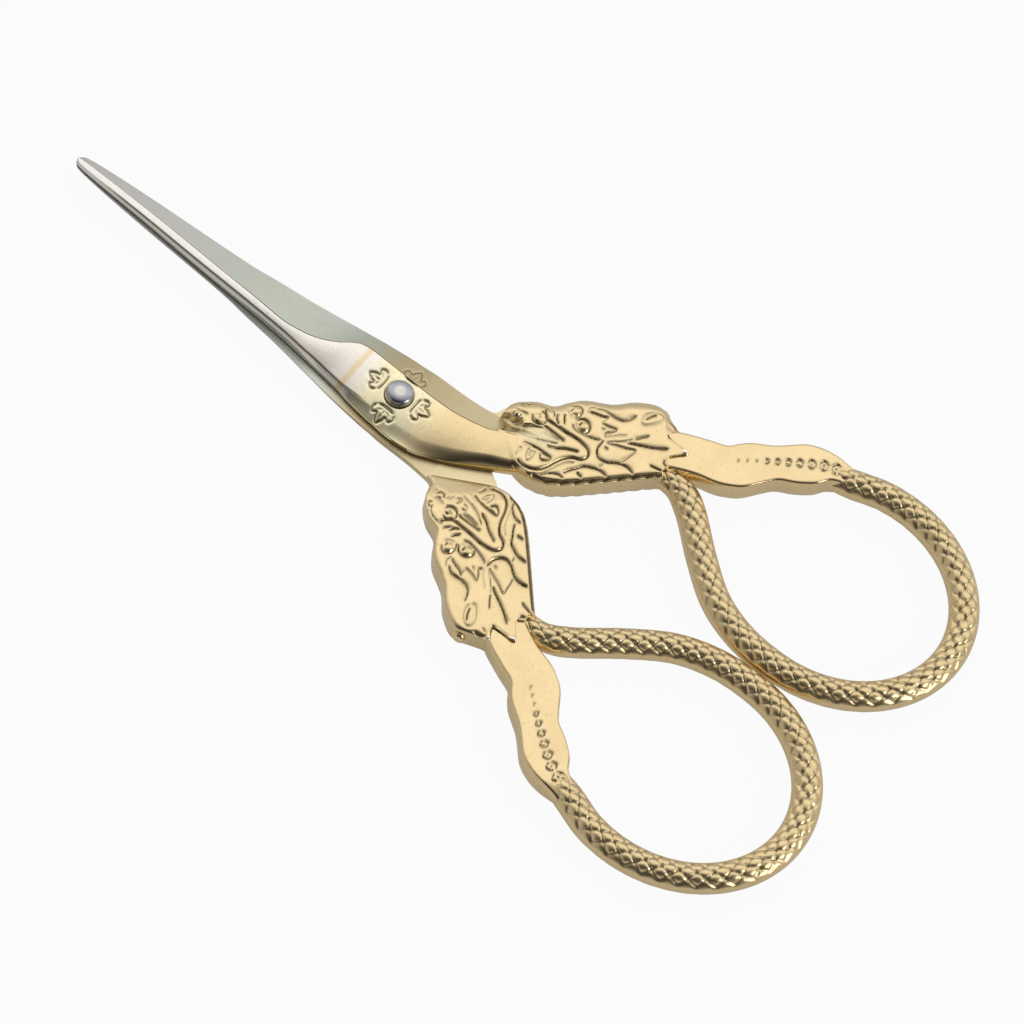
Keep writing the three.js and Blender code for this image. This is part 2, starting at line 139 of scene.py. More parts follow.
class Line:
    """A smooth plan line through points, read by shares of its length."""

    def __init__(self, points, steps=24):
        p = np.array(points, float)
        before = np.vstack([p[:1], p[:-2]])
        after = np.vstack([p[2:], p[-1:]])
        t = (np.arange(steps) / steps)[None, :, None]
        a, b = p[:-1][:, None], p[1:][:, None]
        out, into = (b - before[:, None]) / 2, (after[:, None] - a) / 2
        body = (
            (2 * a - 2 * b + out + into) * t**3
            + (-3 * a + 3 * b - 2 * out - into) * t**2
            + out * t
            + a
        )
        self.dense = np.vstack([body.reshape(-1, 2), p[-1:]])
        steps_along = np.linalg.norm(np.diff(self.dense, axis=0), axis=1)
        run = np.concatenate([[0], np.cumsum(steps_along)])
        self.length = run[-1]
        self.share = run / run[-1]

    def at(self, share):
        return np.stack([np.interp(share, self.share, self.dense[:, i]) for i in (0, 1)], axis=-1)

    def way(self, share, reach=0.004):
        ahead = self.at(np.clip(share + reach, 0, 1)) - self.at(np.clip(share - reach, 0, 1))
        return ahead / np.linalg.norm(ahead, axis=-1, keepdims=True)


def beside(origin, axis):
    """A function to places in plan from shares of an axis, along it and out to its left."""
    out = np.array([-axis[1], axis[0]])

    def at(shares):
        along, aside = np.array(shares, float).T[..., None]
        return origin + along * axis + aside * out

    return at


# Meshes

# What the metal's material reads from each point, as shares that reach 1. The first also holds painted
# shade beside the strokes and along the blade, and the third is a painted highlight.
SURFACE_MARKS = ("carved", "ground", "painted_highlight", "satin")


def closed_mesh(rings, marks, walled=False):
    """A closed mesh through rings; walled ends join each upper point to the one under it."""
    count, sides, _ = rings.shape
    index = np.arange(count * sides).reshape(count, sides)
    ahead = np.roll(index, -1, axis=1)
    faces = np.stack([index[:-1], ahead[:-1], ahead[1:], index[1:]], axis=-1).reshape(-1, 4).tolist()
    vertices = rings.reshape(-1, 3)
    for end, ring in ((0, index[0]), (1, index[-1])):
        if walled:
            for i in range(sides // 2 - 1):
                wall = [ring[i], ring[i + 1], ring[sides - 2 - i], ring[sides - 1 - i]]
                faces.append(wall if end else wall[::-1])
        else:
            hub = len(vertices)
            vertices = np.vstack([vertices, rings[-end].mean(axis=0)])
            for i in range(sides):
                fan = [ring[i], ring[(i + 1) % sides], hub]
                faces.append(fan if end else fan[::-1])
    mesh = bpy.data.meshes.new("mesh")
    mesh.from_pydata(vertices.tolist(), [], [[int(i) for i in face] for face in faces])
    for mark in SURFACE_MARKS:
        values = np.zeros(len(vertices), np.float32)
        if mark in marks:
            values[: count * sides] = np.ravel(marks[mark])
        layer = mesh.attributes.new(mark, "FLOAT", "POINT")
        layer.data.foreach_set("value", values)
    if volume(mesh) < 0:
        mesh.flip_normals()
    return mesh


def turned(profile, sides=96):
    """A closed body of revolution about Z; the profile runs from the axis to the axis."""
    angle = 2 * pi * np.arange(sides) / sides
    radius, height = np.array(profile[1:-1], float).T
    x, y = np.outer(radius, np.cos(angle)), np.outer(radius, np.sin(angle))
    z = np.repeat(height[:, None], sides, axis=1)
    return closed_mesh(np.stack([x, y, z], axis=-1), {})


def at_height(plan, height):
    """Places in plan with their height as a third number."""
    return np.concatenate([plan, height[..., None]], axis=-1)


def round_slab(top, first_wall, below, second_wall):
    """Rings over a slab's top, down one wall, back along its underside and up the other wall."""
    walls = [np.stack(wall, axis=1) for wall in (first_wall, second_wall)]
    return np.concatenate([top, walls[0], below[:, ::-1], walls[1]], axis=1)


def read(items, key, kind=float, width=3):
    values = np.empty(len(items) * width, kind)
    items.foreach_get(key, values)
    return values.reshape(-1, width)


def volume(mesh):
    mesh.calc_loop_triangles()
    corners = read(mesh.loop_triangles, "vertices", np.int32)
    a, b, c = read(mesh.vertices, "co")[corners].transpose(1, 0, 2)
    return np.einsum("ij,ij->i", a, np.cross(b, c)).sum() / 6


def linked(name, mesh):
    piece = bpy.data.objects.new(name, mesh)
    bpy.context.scene.collection.objects.link(piece)
    return piece


def joined(base, hole, *added):
    """The base mesh with a hole cut in it and then the other meshes added."""
    piece = linked("joined", base)
    tools = [linked("tool", mesh) for mesh in (hole, *added)]
    for tool in tools:
        change = piece.modifiers.new("change", "BOOLEAN")
        change.operation = "UNION" if tool != tools[0] else "DIFFERENCE"
        change.solver = "MANIFOLD"
        change.object = tool
    graph = bpy.context.evaluated_depsgraph_get()
    result = bpy.data.meshes.new_from_object(piece.evaluated_get(graph))
    for item in [piece, *tools]:
        bpy.data.objects.remove(item)
    return result


# Engraving: each stroke is its points, half its width and its depth. Some also have a step, which
# is how far they leave the metal on their left lower than on their right.

STROKE_STEPS = 30  # places along a stroke between two of its points
STROKE_SPREAD = 1.1  # a groove runs out this many half widths from its middle
STROKE_ENDS = (-0.12, 0.35)  # a groove deepens between these distances from its end
SHORT_END = 0.3  # or within this share of its length, where that is less
SHORTEST_END = 0.02
PILLOW_REACH = 0.55
PILLOW_SHARE = 0.32
STEP_REACH = 1.3
STEP_FLAT = 0.1
STEP_ENDS = (-0.05, 0.8)
STEP_TURN = 0.02  # share of the stroke on each side that gives its direction


def carved(grid, strokes):
    """How deep the strokes cut at each place, and how far the metal beside them falls away."""
    places = grid.reshape(-1, 2)
    cut, pillow, stepped = np.zeros((3, len(places)))
    for points, half, deep, *step in strokes:
        line = Line(points, STROKE_STEPS)
        path = line.dense
        reach = STEP_REACH if step else PILLOW_REACH
        inside = np.all((places > path.min(0) - reach) & (places < path.max(0) + reach), axis=1)
        near = np.flatnonzero(inside)
        if len(near) == 0:
            continue
        away = places[near, None] - path[None]
        gaps = np.linalg.norm(away, axis=2)
        which = gaps.argmin(axis=1)
        gap = gaps[np.arange(len(near)), which]
        along = line.share[which] * line.length
        ends = np.minimum(along, line.length - along)
        start, full = STROKE_ENDS
        taper = smooth(ends, start, min(full, SHORT_END * line.length + SHORTEST_END))
        profile = deep * taper * np.clip(1 - (gap / (STROKE_SPREAD * half)) ** 2, 0, 1) ** 2
        cut[near] = np.maximum(cut[near], profile)
        valley = PILLOW_SHARE * deep * taper * (1 - smooth(gap, 0, PILLOW_REACH))
        pillow[near] = np.maximum(pillow[near], valley)
        if step:
            way = line.way(line.share[which], STEP_TURN)
            offset = away[np.arange(len(near)), which]
            left = way[:, 0] * offset[:, 1] - way[:, 1] * offset[:, 0] > 0
            fall = step[0] * left * smooth(ends, *STEP_ENDS) * (1 - smooth(gap, STEP_FLAT, STEP_REACH))
            stepped[near] = np.maximum(stepped[near], fall)
    return cut.reshape(grid.shape[:-1]), (pillow + stepped).reshape(grid.shape[:-1])


def ring_of(centre, radius, start=0, turn=410, points=11):
    """Points round a circle, in degrees from +X; a full ring overlaps itself."""
    angles = np.radians(start + turn * np.linspace(0, 1, points))
    return [(centre[0] + radius * cos(a), centre[1] + radius * sin(a)) for a in angles]


def domes(places, balls):
    """Height of round beads, each its centre, radius and height."""
    rise = np.zeros(places.shape[:-1])
    for centre, radius, height in balls:
        gap = np.linalg.norm(places - np.array(centre), axis=-1)
        rise = np.maximum(rise, height * np.sqrt(np.clip(1 - (gap / radius) ** 2, 0, 1)))
    return rise


# Blade and neck. Each curve runs over shares of the neck's reach, below 0, and of the blade's.
# Plan lines and the roll's width are in half widths at the pivot, the ridge is a share of the way
# from edge to back, heights are in layers, and the land's height is in millimetres.

NECK_END = -1.4

ground_edge = through([
    (NECK_END, -1.08), (-0.85, -1.1), (-0.7, -1.05), (-0.43, -1.01), (0, -1), (0.107, -0.93),
    (0.214, -0.8), (0.32, -0.66), (0.427, -0.555), (0.49, -0.48), (0.75, -0.335), (0.96, -0.185),
    (0.988, -0.135), (1, -0.04),
])
back = through([
    (NECK_END, -0.31), (-1.22, -0.05), (-1.04, 0.2), (-0.87, 0.43), (-0.7, 0.625), (-0.43, 0.856),
    (-0.17, 0.9), (0, 0.87), (0.085, 0.78), (0.128, 0.7), (0.17, 0.65), (0.256, 0.555), (0.32, 0.49),
    (0.427, 0.43), (0.6, 0.35), (0.75, 0.265), (0.96, 0.155), (0.988, 0.115), (1, 0.03),
])
ridge_sweep = through([
    (NECK_END, 0.06), (-1.22, 0.12), (-1.04, 0.25), (-0.87, 0.34), (-0.43, 0.31), (0, 0.296),
    (0.128, 0.27), (0.16, 0.3), (0.192, 0.46), (0.235, 0.63), (0.278, 0.74), (0.342, 0.82),
    (0.427, 0.79), (0.64, 0.71), (0.854, 0.61), (1, 0.5),
])
roll_width = through([
    (NECK_END, 0.24), (-1.04, 0.3), (-0.35, 0.33), (0, 0.27), (0.085, 0.19), (0.128, 0.115),
    (0.17, 0.1), (0.214, 0.08), (0.256, 0.05), (0.427, 0.035), (1, 0.03),
])
WIDEST_ROLL = 0.6  # share of the way from the back to the ridge
# 1 is a bevel and 2 is round.
roll_fullness = through([(NECK_END, 1.6), (-0.35, 1.6), (0, 1.3), (0.107, 1.15), (1, 1.15)])
ridge_height = through([
    (NECK_END, 0.95), (-1.2, 1.1), (-1.04, 1.2), (-0.52, 1.06), (-0.17, 1), (0.17, 1), (0.427, 0.92),
    (0.75, 0.66), (0.96, 0.42), (1, 0.3),
])
crown = through([
    (NECK_END, 0.08), (-1.04, 0.3), (-0.7, 0.64), (-0.35, 0.7), (0, 0.52), (0.085, 0.5), (0.17, 0.46),
    (0.214, 0.34), (0.256, 0.22), (0.427, 0.1), (1, 0.03),
])
back_height = through([(NECK_END, 0.3), (-0.35, 0.32), (0, 0.3), (0.427, 0.25), (0.75, 0.2), (1, 0.1)])
land_height = through([
    (NECK_END, EDGE_LAND), (-0.2, EDGE_LAND), (0.1, 0.35), (0.2, EDGE_KEEN), (1, EDGE_KEEN),
])

PIVOT_STRETCH = 4.7  # half the length that has closer stations, for the stamps
PIVOT_SPACING = 0.12
NECK_STATIONS = 40
BLADE_STATIONS = 76
GROUND_COLUMNS = 25
POLISHED_COLUMNS = 44
ROLL_COLUMNS = 14
PLAIN_COLUMNS = (0, -1, -2, -3)  # the cutting edge and the lapped face, which carry no lines
# A thin dark line of painted shade runs along the ridge, over a shallow groove
RIDGE_CUT = 0.03
RIDGE_DARK = 1.2
ROLL_LINE = 0.12  # half the width of the dark line of painted shade where the polished side rolls over
ROLL_LINE_CUT = 0.03
ROLL_LINE_DARK = 0.9
ROLL_LINE_START = (1.5, 4)  # it comes and goes between these places along the blade
ROLL_LINE_END = (38, 45)
LAP_INSET = 0.04  # the lapped face is ground, from this far inside its outline
LAP_BEVEL = 0.01  # and lies this much lower there

# Four leaf stamps round the rivet: a curved foot nearest it, three lobes outward and veins.
STAMP_REACH = 3.2
STAMP_HALF = 0.16
STAMP_CUT = 0.14
STAMP_DARK = 0.85
VEIN_HALF, VEIN_CUT = 0.096, 0.098
HEAD_RING_OUT, HEAD_RING_HALF, HEAD_RING_CUT = 0.03, 0.14, 0.12  # the groove round the rivet's head, darkened as dirt and painted shadow under the head
LEAF_FOOT = [(-0.8, 1.15), (-1, 0.55), (-1, -0.55), (-0.8, -1.15)]
LEAF_LOBES = [
    (-0.8, 1.15), (-0.2, 1.4), (0.25, 1.1), (0, 0.6), (0.45, 0.45), (1.05, 0), (0.45, -0.45),
    (0, -0.6), (0.25, -1.1), (-0.2, -1.4), (-0.8, -1.15),
]
LEAF_VEINS = [
    [(-0.65, 0), (0.45, 0)], [(-0.55, 0.25), (-0.2, 0.85)], [(-0.55, -0.25), (-0.2, -0.85)],
]


def stamps():
    ring = ring_of((0, 0), RIVET_HEAD_RADIUS + HEAD_RING_OUT, points=25)
    # The ring round the rivet's head is darkened like the stamps, partly as dirt and partly as painted
    # shadow under the head.
    strokes = [(ring, HEAD_RING_HALF, HEAD_RING_CUT)]
    for axis in np.array([(1, 0), (0, 1), (-1, 0), (0, -1)]):
        placed = beside(STAMP_REACH * axis, axis)
        strokes += [(placed(line), STAMP_HALF, STAMP_CUT) for line in (LEAF_FOOT, LEAF_LOBES)]
        strokes += [(placed(vein), VEIN_HALF, VEIN_CUT) for vein in LEAF_VEINS]
    return strokes


def share_at(x):
    """Share of the neck's reach, below 0, or of the blade's."""
    return np.where(x < 0, x / NECK_REACH, x / TIP_REACH)


def blade_lines(x):
    """Lines along the blade at X: its ground edge, ridge, roll and back, and their heights."""
    share = share_at(x)
    edge = ground_edge(share) * PIVOT_HALF_WIDTH
    rear = back(share) * PIVOT_HALF_WIDTH
    ridge = lerp(edge, rear, ridge_sweep(share))
    roll = rear - np.minimum(roll_width(share) * PIVOT_HALF_WIDTH, WIDEST_ROLL * (rear - ridge))
    lap = LAP_GAP / 2
    land, top = lap + land_height(share), lap + ridge_height(share) * LAYER
    return edge, ridge, roll, rear, land, top, lap + back_height(share) * LAYER


def crowned(x, y, ridge, rear):
    """How far the polished side has fallen from the ridge at Y."""
    return crown(share_at(x)) * LAYER * np.clip((y - ridge) / (rear - ridge), 0, 1) ** 2


def polished_height(x, y):
    """Height of the neck's polished side and of its roll over to the back."""
    _, ridge, roll, rear, _, top, shoulder = blade_lines(x)
    power = 2 / roll_fullness(share_at(x))
    out = np.clip((y - roll) / (rear - roll) / BACK_DRAFT, 0, 1)
    angle = np.arcsin(out ** (1 / power))
    return lerp(shoulder, top - crowned(x, y, ridge, rear), np.cos(angle) ** power)


def blade_and_neck():
    neck = np.linspace(NECK_END * NECK_REACH, -PIVOT_STRETCH, NECK_STATIONS, endpoint=False)
    beside_pivot = np.arange(-PIVOT_STRETCH, PIVOT_STRETCH, PIVOT_SPACING)
    closing = np.sin(np.linspace(0, 1, BLADE_STATIONS) * pi / 2)
    x = np.concatenate([neck, beside_pivot, PIVOT_STRETCH + (TIP_REACH - PIVOT_STRETCH) * closing])
    edge, ridge, roll, rear, land, top, shoulder = blade_lines(x)
    lap = np.full_like(x, LAP_GAP / 2)
    power = 2 / roll_fullness(share_at(x))

    columns = [(edge, lap)]
    for t in np.linspace(0, 1, GROUND_COLUMNS):
        columns.append((lerp(edge, ridge, t), lerp(land, top, t)))
    ridge_column = len(columns) - 1
    for t in np.linspace(0, 1, POLISHED_COLUMNS)[1:]:
        y = lerp(ridge, roll, t)
        columns.append((y, top - crowned(x, y, ridge, rear)))
    for degrees in np.linspace(0, 90, ROLL_COLUMNS)[1:]:
        angle = radians(degrees)
        y = lerp(roll, rear, BACK_DRAFT * sin(angle) ** power)
        columns.append((y, lerp(shoulder, top - crowned(x, y, ridge, rear), cos(angle) ** power)))
    ground_lap = lap + LAP_BEVEL
    columns += [(rear, lap), (rear - LAP_INSET, ground_lap), (edge + LAP_INSET, ground_lap)]
    y, z = np.stack(columns, axis=-1)
    places = np.stack([np.repeat(x[:, None], y.shape[1], axis=1), y], axis=-1)

    cut, pillow = carved(places, stamps())
    cut[:, ridge_column] = np.maximum(cut[:, ridge_column], RIDGE_CUT)
    # A line of painted shade where the polished side rolls over, with a shallow groove under it
    line = np.clip(1 - np.abs(y - roll[:, None]) / ROLL_LINE, 0, 1)
    line = line * (smooth(x, *ROLL_LINE_START) * (1 - smooth(x, *ROLL_LINE_END)))[:, None]
    lowered = cut + FLAT_PILLOW * pillow + ROLL_LINE_CUT * line
    # The stamps are dark with patina, the ring round the rivet's head with dirt and painted shadow,
    # and the roll line with painted shade.
    dark = np.maximum(STAMP_DARK * cut / STAMP_CUT, ROLL_LINE_DARK * line)
    # The ridge is painted dark, as painted shade.
    dark[:, ridge_column] = RIDGE_DARK
    lowered[:, PLAIN_COLUMNS] = dark[:, PLAIN_COLUMNS] = 0
    ground = np.zeros_like(y)
    ground[:, :ridge_column] = ground[:, -2:] = 1
    return closed_mesh(at_height(places, z - lowered), {"carved": dark, "ground": ground})


def mark_lapped_face(mesh):
    """Marks the whole lapped face as ground, also where the head and the bore cut into it."""
    x, _, z = read(mesh.vertices, "co").T
    layer = mesh.attributes["ground"].data
    marks = read(layer, "value", np.float32, 1)[:, 0]
    lapped = np.abs(z - LAP_GAP / 2 - LAP_BEVEL) < LAP_BEVEL / 4
    marks[lapped & (x > NECK_END * NECK_REACH)] = 1
    layer.foreach_set("value", marks)


# Dragon's head

head_axis = -np.array([cos(radians(HEAD_ANGLE)), sin(radians(HEAD_ANGLE))])
on_head = beside(np.array([-NECK_REACH, -HEAD_FRONT_OFFSET]), HEAD_LENGTH * head_axis)

crest_line = Line(on_head([
    (-0.073, 0.16), (-0.015, 0.156), (0.031, 0.19), (0.1, 0.233), (0.209, 0.249), (0.308, 0.234),
    (0.386, 0.266), (0.485, 0.295), (0.64, 0.29), (0.77, 0.321), (0.905, 0.31), (0.98, 0.225),
    (1.039, 0.14),
]))
throat_line = Line(on_head([
    (0.074, -0.173), (0.132, -0.225), (0.218, -0.268), (0.311, -0.291), (0.445, -0.275),
    (0.662, -0.225), (0.883, -0.172), (0.945, -0.162),
]))
# Tufts of mane lengthen or shorten the head's end, from the crest across to the throat.
TUFT_START = 0.86
tufts = through([(0, 0), (0.13, -0.06), (0.46, 0.08), (0.6, -0.025), (0.76, 0), (0.87, -0.02), (1, 0)])
front_rounding = through([(0, 1), (0.04, 0.7), (0.09, 0.36), (0.15, 0.1), (0.2, 0)])

# The neck's ground face runs on between the jaw and the snout, on the lapped side only. Each line
# is places in plan, and the last is how far the face is sunk along X.
JAW_LINE = [
    (-17.6, -5.15), (-16, -5.05), (-14, -4.75), (-12.5, -4.35), (-11, -3.75), (-9, -2.95), (-7, -2.55),
]
SNOUT_EDGE = [
    (-17.5, -7.4), (-16, -7.5), (-14.9, -7.7), (-13.4, -7), (-12.8, -6.4), (-12.2, -6.9),
    (-11.6, -6.35), (-10.9, -6.55), (-10.2, -6), (-9.95, -8.5), (-8.5, -9.5),
]
RUN_SUNK = [(-16.6, 0), (-15.4, 0.2), (-14.2, 0.45), (-12.6, 0.8), (-8, 0.9)]
RUN_WIDTH = 1.5
RUN_MEETS_NECK = (-13.2, -11.2)
JAW_SLOPE = 0.2
SNOUT_SLOPE = 0.25

LINE, SCORE, TICK = 0.155, 0.135, 0.115  # half the widths of the strokes, from bold to fine
# Places on the head are how far they lie behind the rivet, and out from the long axis.
MOUTH = [
    ([(15, 2.3), (16.2, 2.2), (17, 2.45), (17.7, 3), (18.2, 3.9), (18.5, 4.9), (18.85, 5.75),
      (19.5, 6.6), (20.4, 7.1), (20.8, 7.75), (20.65, 8.35), (20, 8.8), (18.6, 8.95), (17.2, 8.8),
      (15.8, 8.75), (14.5, 8.7), (13.9, 9.2), (13.4, 9.9)], 0.17, 0.28, -0.05),
    ([(17.3, 1.95), (18.2, 2.6), (18.65, 3.6), (19, 4.7), (19.5, 5.7), (20.3, 6.4)], TICK, 0.14),
    ([(14.5, 7.8), (15.6, 7.8), (17.8, 7.75)], LINE, 0.24),
    ([(14.7, 7.3), (16, 7.4), (17.2, 7.6)], 0.42, 0.16),
    ([(13.3, 5.3), (14.6, 5.7), (16, 6.2), (17.4, 7.1)], SCORE, 0.16),
    ([(16.35, 5.9), (17.4, 6.35), (18.4, 7.1), (19.8, 7.8)], LINE, 0.26),
    ([(14.2, 4.4), (15.2, 4.8), (16.3, 5), (17.75, 5), (17.7, 4.5), (17.2, 4.1), (16.8, 4.3),
      (16.5, 4.8)], SCORE, 0.22),
    ([(17.75, 5), (16.4, 4.85)], LINE, 0.22),
    ([(14.5, 2.5), (14.6, 3.2), (14.4, 3.9)], SCORE, 0.2),
    ([(15.25, 4.5), (15.35, 3.7), (15.8, 3)], TICK, 0.17),
    ([(15.9, 4.6), (16.15, 3.8), (16, 3), (15.6, 3.1)], TICK, 0.17),
    ([(15.6, 4.4), (15.75, 3.4)], 0.34, 0.12),
]
THROAT = [
    ([(17.6, 1.75), (18.2, 2.2), (18.5, 2.95), (19.2, 3.6), (19.9, 3.9), (20.6, 3.85)],
      SCORE, 0.22, 0.05),
    ([(19.95, 4.35), (20.3, 5.1), (20.8, 5.9), (21.2, 6.6), (21.9, 7.05), (22.9, 7.45), (24.1, 7.4)],
      LINE, 0.25, 0.05),
    ([(20.95, 5.5), (22.1, 5.35)], LINE, 0.24),
    ([(22.7, 8.6), (22.55, 7.6)], TICK, 0.2),
    ([(24.1, 7.4), (24.4, 7.1)], TICK, 0.16),
]
JOWL = [
    ([(20.9, 10.8), (20.95, 9.7), (21.35, 9), (22, 8.65), (22.8, 8.8), (23.5, 9.3), (24.2, 9.75),
      (25.1, 9.9), (26.1, 9.7)], LINE, 0.26, 0.06),
    ([(21.2, 10.8), (22.2, 11.25), (23.3, 11.7), (24.35, 12.2), (24.35, 11.3), (24.05, 9.8)],
      SCORE, 0.2),
    ([(21.4, 10.2), (22.1, 10.25)], SCORE, 0.18),
    ([(23, 12.4), (24.4, 13.15), (25.7, 13.9), (27.15, 15)], LINE, 0.26, 0.05),
    ([(23.4, 13.3), (24, 14.2), (24.5, 14.85)], LINE, 0.22),
    ([(21.3, 10.95), (22.3, 11.9), (23.4, 13.2)], TICK, 0.15),
    ([(20.7, 11.2), (21.7, 12.4), (22.6, 13.2)], TICK, 0.12),
    ([(26.6, 11.8), (27.5, 12), (28.3, 12.2)], SCORE, 0.22),
    ([(26.2, 14.2), (27, 14.8)], 0.3, 0.12),
]
BROW = [
    ([(15.5, 12), (15.8, 12.45), (16.3, 12.6), (16.8, 12.3), (17, 11.7), (16.9, 11.2), (16.6, 10.85)],
      SCORE, 0.22),
    ([(15.45, 11.7), (15.6, 11.2), (16.1, 10.9), (16.6, 10.85)], TICK, 0.13),
    ([(16.95, 10.75), (17.25, 11.25), (17.7, 11.5), (18.3, 11.5), (18.8, 11.05), (18.9, 10.45),
      (18.55, 9.95)], SCORE, 0.25),
    ([(17, 10.6), (17.5, 10.2), (18.1, 9.95), (18.55, 9.95)], TICK, 0.13),
    ([(17.65, 10.4), (17.65, 11.15)], SCORE, 0.26),
    ([(15.75, 11.2), (15.85, 11.9)], SCORE, 0.22),
    ([(16.9, 10.05), (17.7, 9.8), (18.8, 9.95), (20, 10.3), (20.7, 10.7)], SCORE, 0.2, 0.05),
    ([(14.9, 10.1), (15.3, 9.45), (15.95, 8.95)], SCORE, 0.26),
    ([(15.55, 10.55), (15.95, 9.95), (16.4, 9.5)], SCORE, 0.26),
    ([(14.1, 10.4), (14.55, 9.9), (15, 9.45)], TICK, 0.2),
    ([(17.3, 12.65), (18.1, 12.95), (19.1, 13.3), (19.5, 13.75)], SCORE, 0.22),
    ([(17.3, 12.4), (17.15, 13.2), (17.6, 13.9)], TICK, 0.18),
    ([(19.2, 12.6), (20, 12.6), (21.15, 12.9), (20.85, 12.2), (20.5, 11.7), (20.9, 11.3)], SCORE, 0.2),
    ([(19.5, 12.6), (19.4, 13.1), (19.6, 13.9)], TICK, 0.18),
    ([(19.7, 11.9), (20.3, 12.1)], TICK, 0.16),
    ([(17.7, 13.6), (18.6, 14.1), (19.8, 14.05), (20.9, 14.3), (21.5, 15), (21.8, 15.95)],
      LINE, 0.22, 0.07),
    ([(20.6, 14), (21.25, 14.6), (21.6, 15.2)], TICK, 0.12),
    ([(22.5, 15.8), (22.45, 16.6), (22.9, 17.5), (23.7, 18.1), (24.15, 17.9), (24.2, 17.1),
      (23.7, 16.2), (23, 15.5), (22.5, 15.8)], SCORE, 0.14),
    ([(22.75, 16.2), (23.1, 17.1), (23.5, 17.7)], LINE, 0.26),
    ([(24.8, 18.2), (25.6, 18.1), (26.3, 17.75)], LINE, 0.24),
]
SNOUT = [
    (ring_of((13.7, 8.3), 0.85, 120, -290, 13), SCORE, 0.24),
    ([(13.3, 8.8), (13.7, 8.35), (13.4, 8)], TICK, 0.16),
    (ring_of((11.45, 8.7), 0.36, 20, 260, 7), TICK, 0.2),
    (ring_of((11.45, 6.95), 0.42, 150, 250, 8), SCORE, 0.22),
    ([(10.3, 6.3), (10.9, 6.65), (11.2, 6.3)], TICK, 0.16),
    ([(12, 6.9), (12.6, 6.5), (12.75, 5.9)], TICK, 0.16),
    (ring_of((13.3, 6.4), 0.33, 200, 250, 7), TICK, 0.2),
    ([(10.9, 7.7), (11.8, 7.6), (12.6, 7.75)], TICK, 0.18),
    ([(14.3, 7), (14.9, 6.8)], TICK, 0.2),
    ([(11.55, 8.6), (12, 9.5), (12.9, 9.95), (13.75, 9.95), (13.95, 9.5)], TICK, 0.18),
    ([(13.25, 6), (13.65, 5.85), (13.8, 6.35)], TICK, 0.18),
    ([(14.05, 6.3), (14.75, 6.5), (15.15, 7.35), (16.1, 7.85)], TICK, 0.15),
]
MANE = [
    ([(25.9, 16.2), (27, 16.3), (28.4, 16.3)], SCORE, 0.24),
    ([(27.9, 13.7), (28.3, 14.5), (28.9, 15.5)], SCORE, 0.2),
    ([(27.5, 13.5), (27.8, 13.1), (28.3, 13)], SCORE, 0.24),
    ([(26.1, 16.7), (26.4, 17)], TICK, 0.2),
    ([(25.3, 17.2), (26, 17.5)], TICK, 0.16),
]
BEADS = [
    ((18.2, 10.75), 0.55, 0.16), ((16.3, 11.75), 0.5, 0.14), ((13.5, 8.1), 0.5, 0.14),
    ((11.5, 7.1), 0.35, 0.12),
]
TIPS = [
    ((26.7, 16.6), 0.5, 0.14), ((26.7, 17.7), 0.4, 0.14), ((28.8, 16.1), 0.5, 0.14),
    ((28.4, 14.1), 0.45, 0.14),
]
TIP_HIGHLIGHT = (0.02, 0.1)  # heights between which the tips of the mane become bright, a painted highlight
FACE_SUNK = 0.16
FULL_CUT = 0.24  # depth at which a carved line is at its darkest
CUT_SHARE = 0.65  # of the strokes' depths, for fine lines
VALLEY_SHADE = 0.3  # darkness of the painted shade on the metal beside the deepest stroke
THROAT_CUT = 0.34
THROAT_CUT_HALF = 0.24
THROAT_CUT_INSET = 0.42  # from the edge of the throat
THROAT_CUT_SPAN = (0.17, 0.99)  # shares of the throat's length
THROAT_CUT_STRIDE = 12  # rows of the head from one of its knots to the next
THROAT_CUT_POINTS = 9
RIM_PITCH = 2.2
RIM_FALL = 0.22
RIM_WIDTH, RIM_FULL = 0.45, 0.3  # its notches deepen between these distances from the edge
NECK_ROUND_END = 0.25  # share of the head's length
# Distances from the head's front between which the first three come in and the last goes out
RIM_START = (4, 6)
RELIEF_START = (0.3, 2.4)
NECK_MELTS = (0.2, 3.6)
UNDER_GROUND = (0.5, 4.5)

HEAD_STATIONS = 186  # along the head
EVEN_ROWS = 92  # across it, and then others that close up towards the throat
EVEN_REACH = 0.93  # share of the width that the even rows take
CLOSING_ROWS = 9
CLOSING_POWER = 1.6
WALL_ROWS = 8


def run_into_jaw(places, height):
    """Sinks the neck's ground face into the face of the head; also says where it has."""
    x, y = places[..., 0], places[..., 1]
    jaw = np.interp(x, *zip(*JAW_LINE))
    snout = np.interp(x, *zip(*SNOUT_EDGE))
    inside = smooth(jaw - y, 0, JAW_SLOPE) * smooth(y - snout, 0, SNOUT_SLOPE) * (x > JAW_LINE[0][0])
    sunk = np.interp(x, *zip(*RUN_SUNK)) * np.clip((jaw - y) / RUN_WIDTH, 0, 1)
    edge, ridge, _, _, land, top, _ = blade_lines(x)
    plane = lerp(land, top, np.clip((y - edge) / (ridge - edge), 0, 1)) - UNDERLAP
    floor = lerp(HEAD_HALF - sunk, plane, smooth(x, *RUN_MEETS_NECK))
    return lerp(height, np.minimum(height, floor), inside), inside


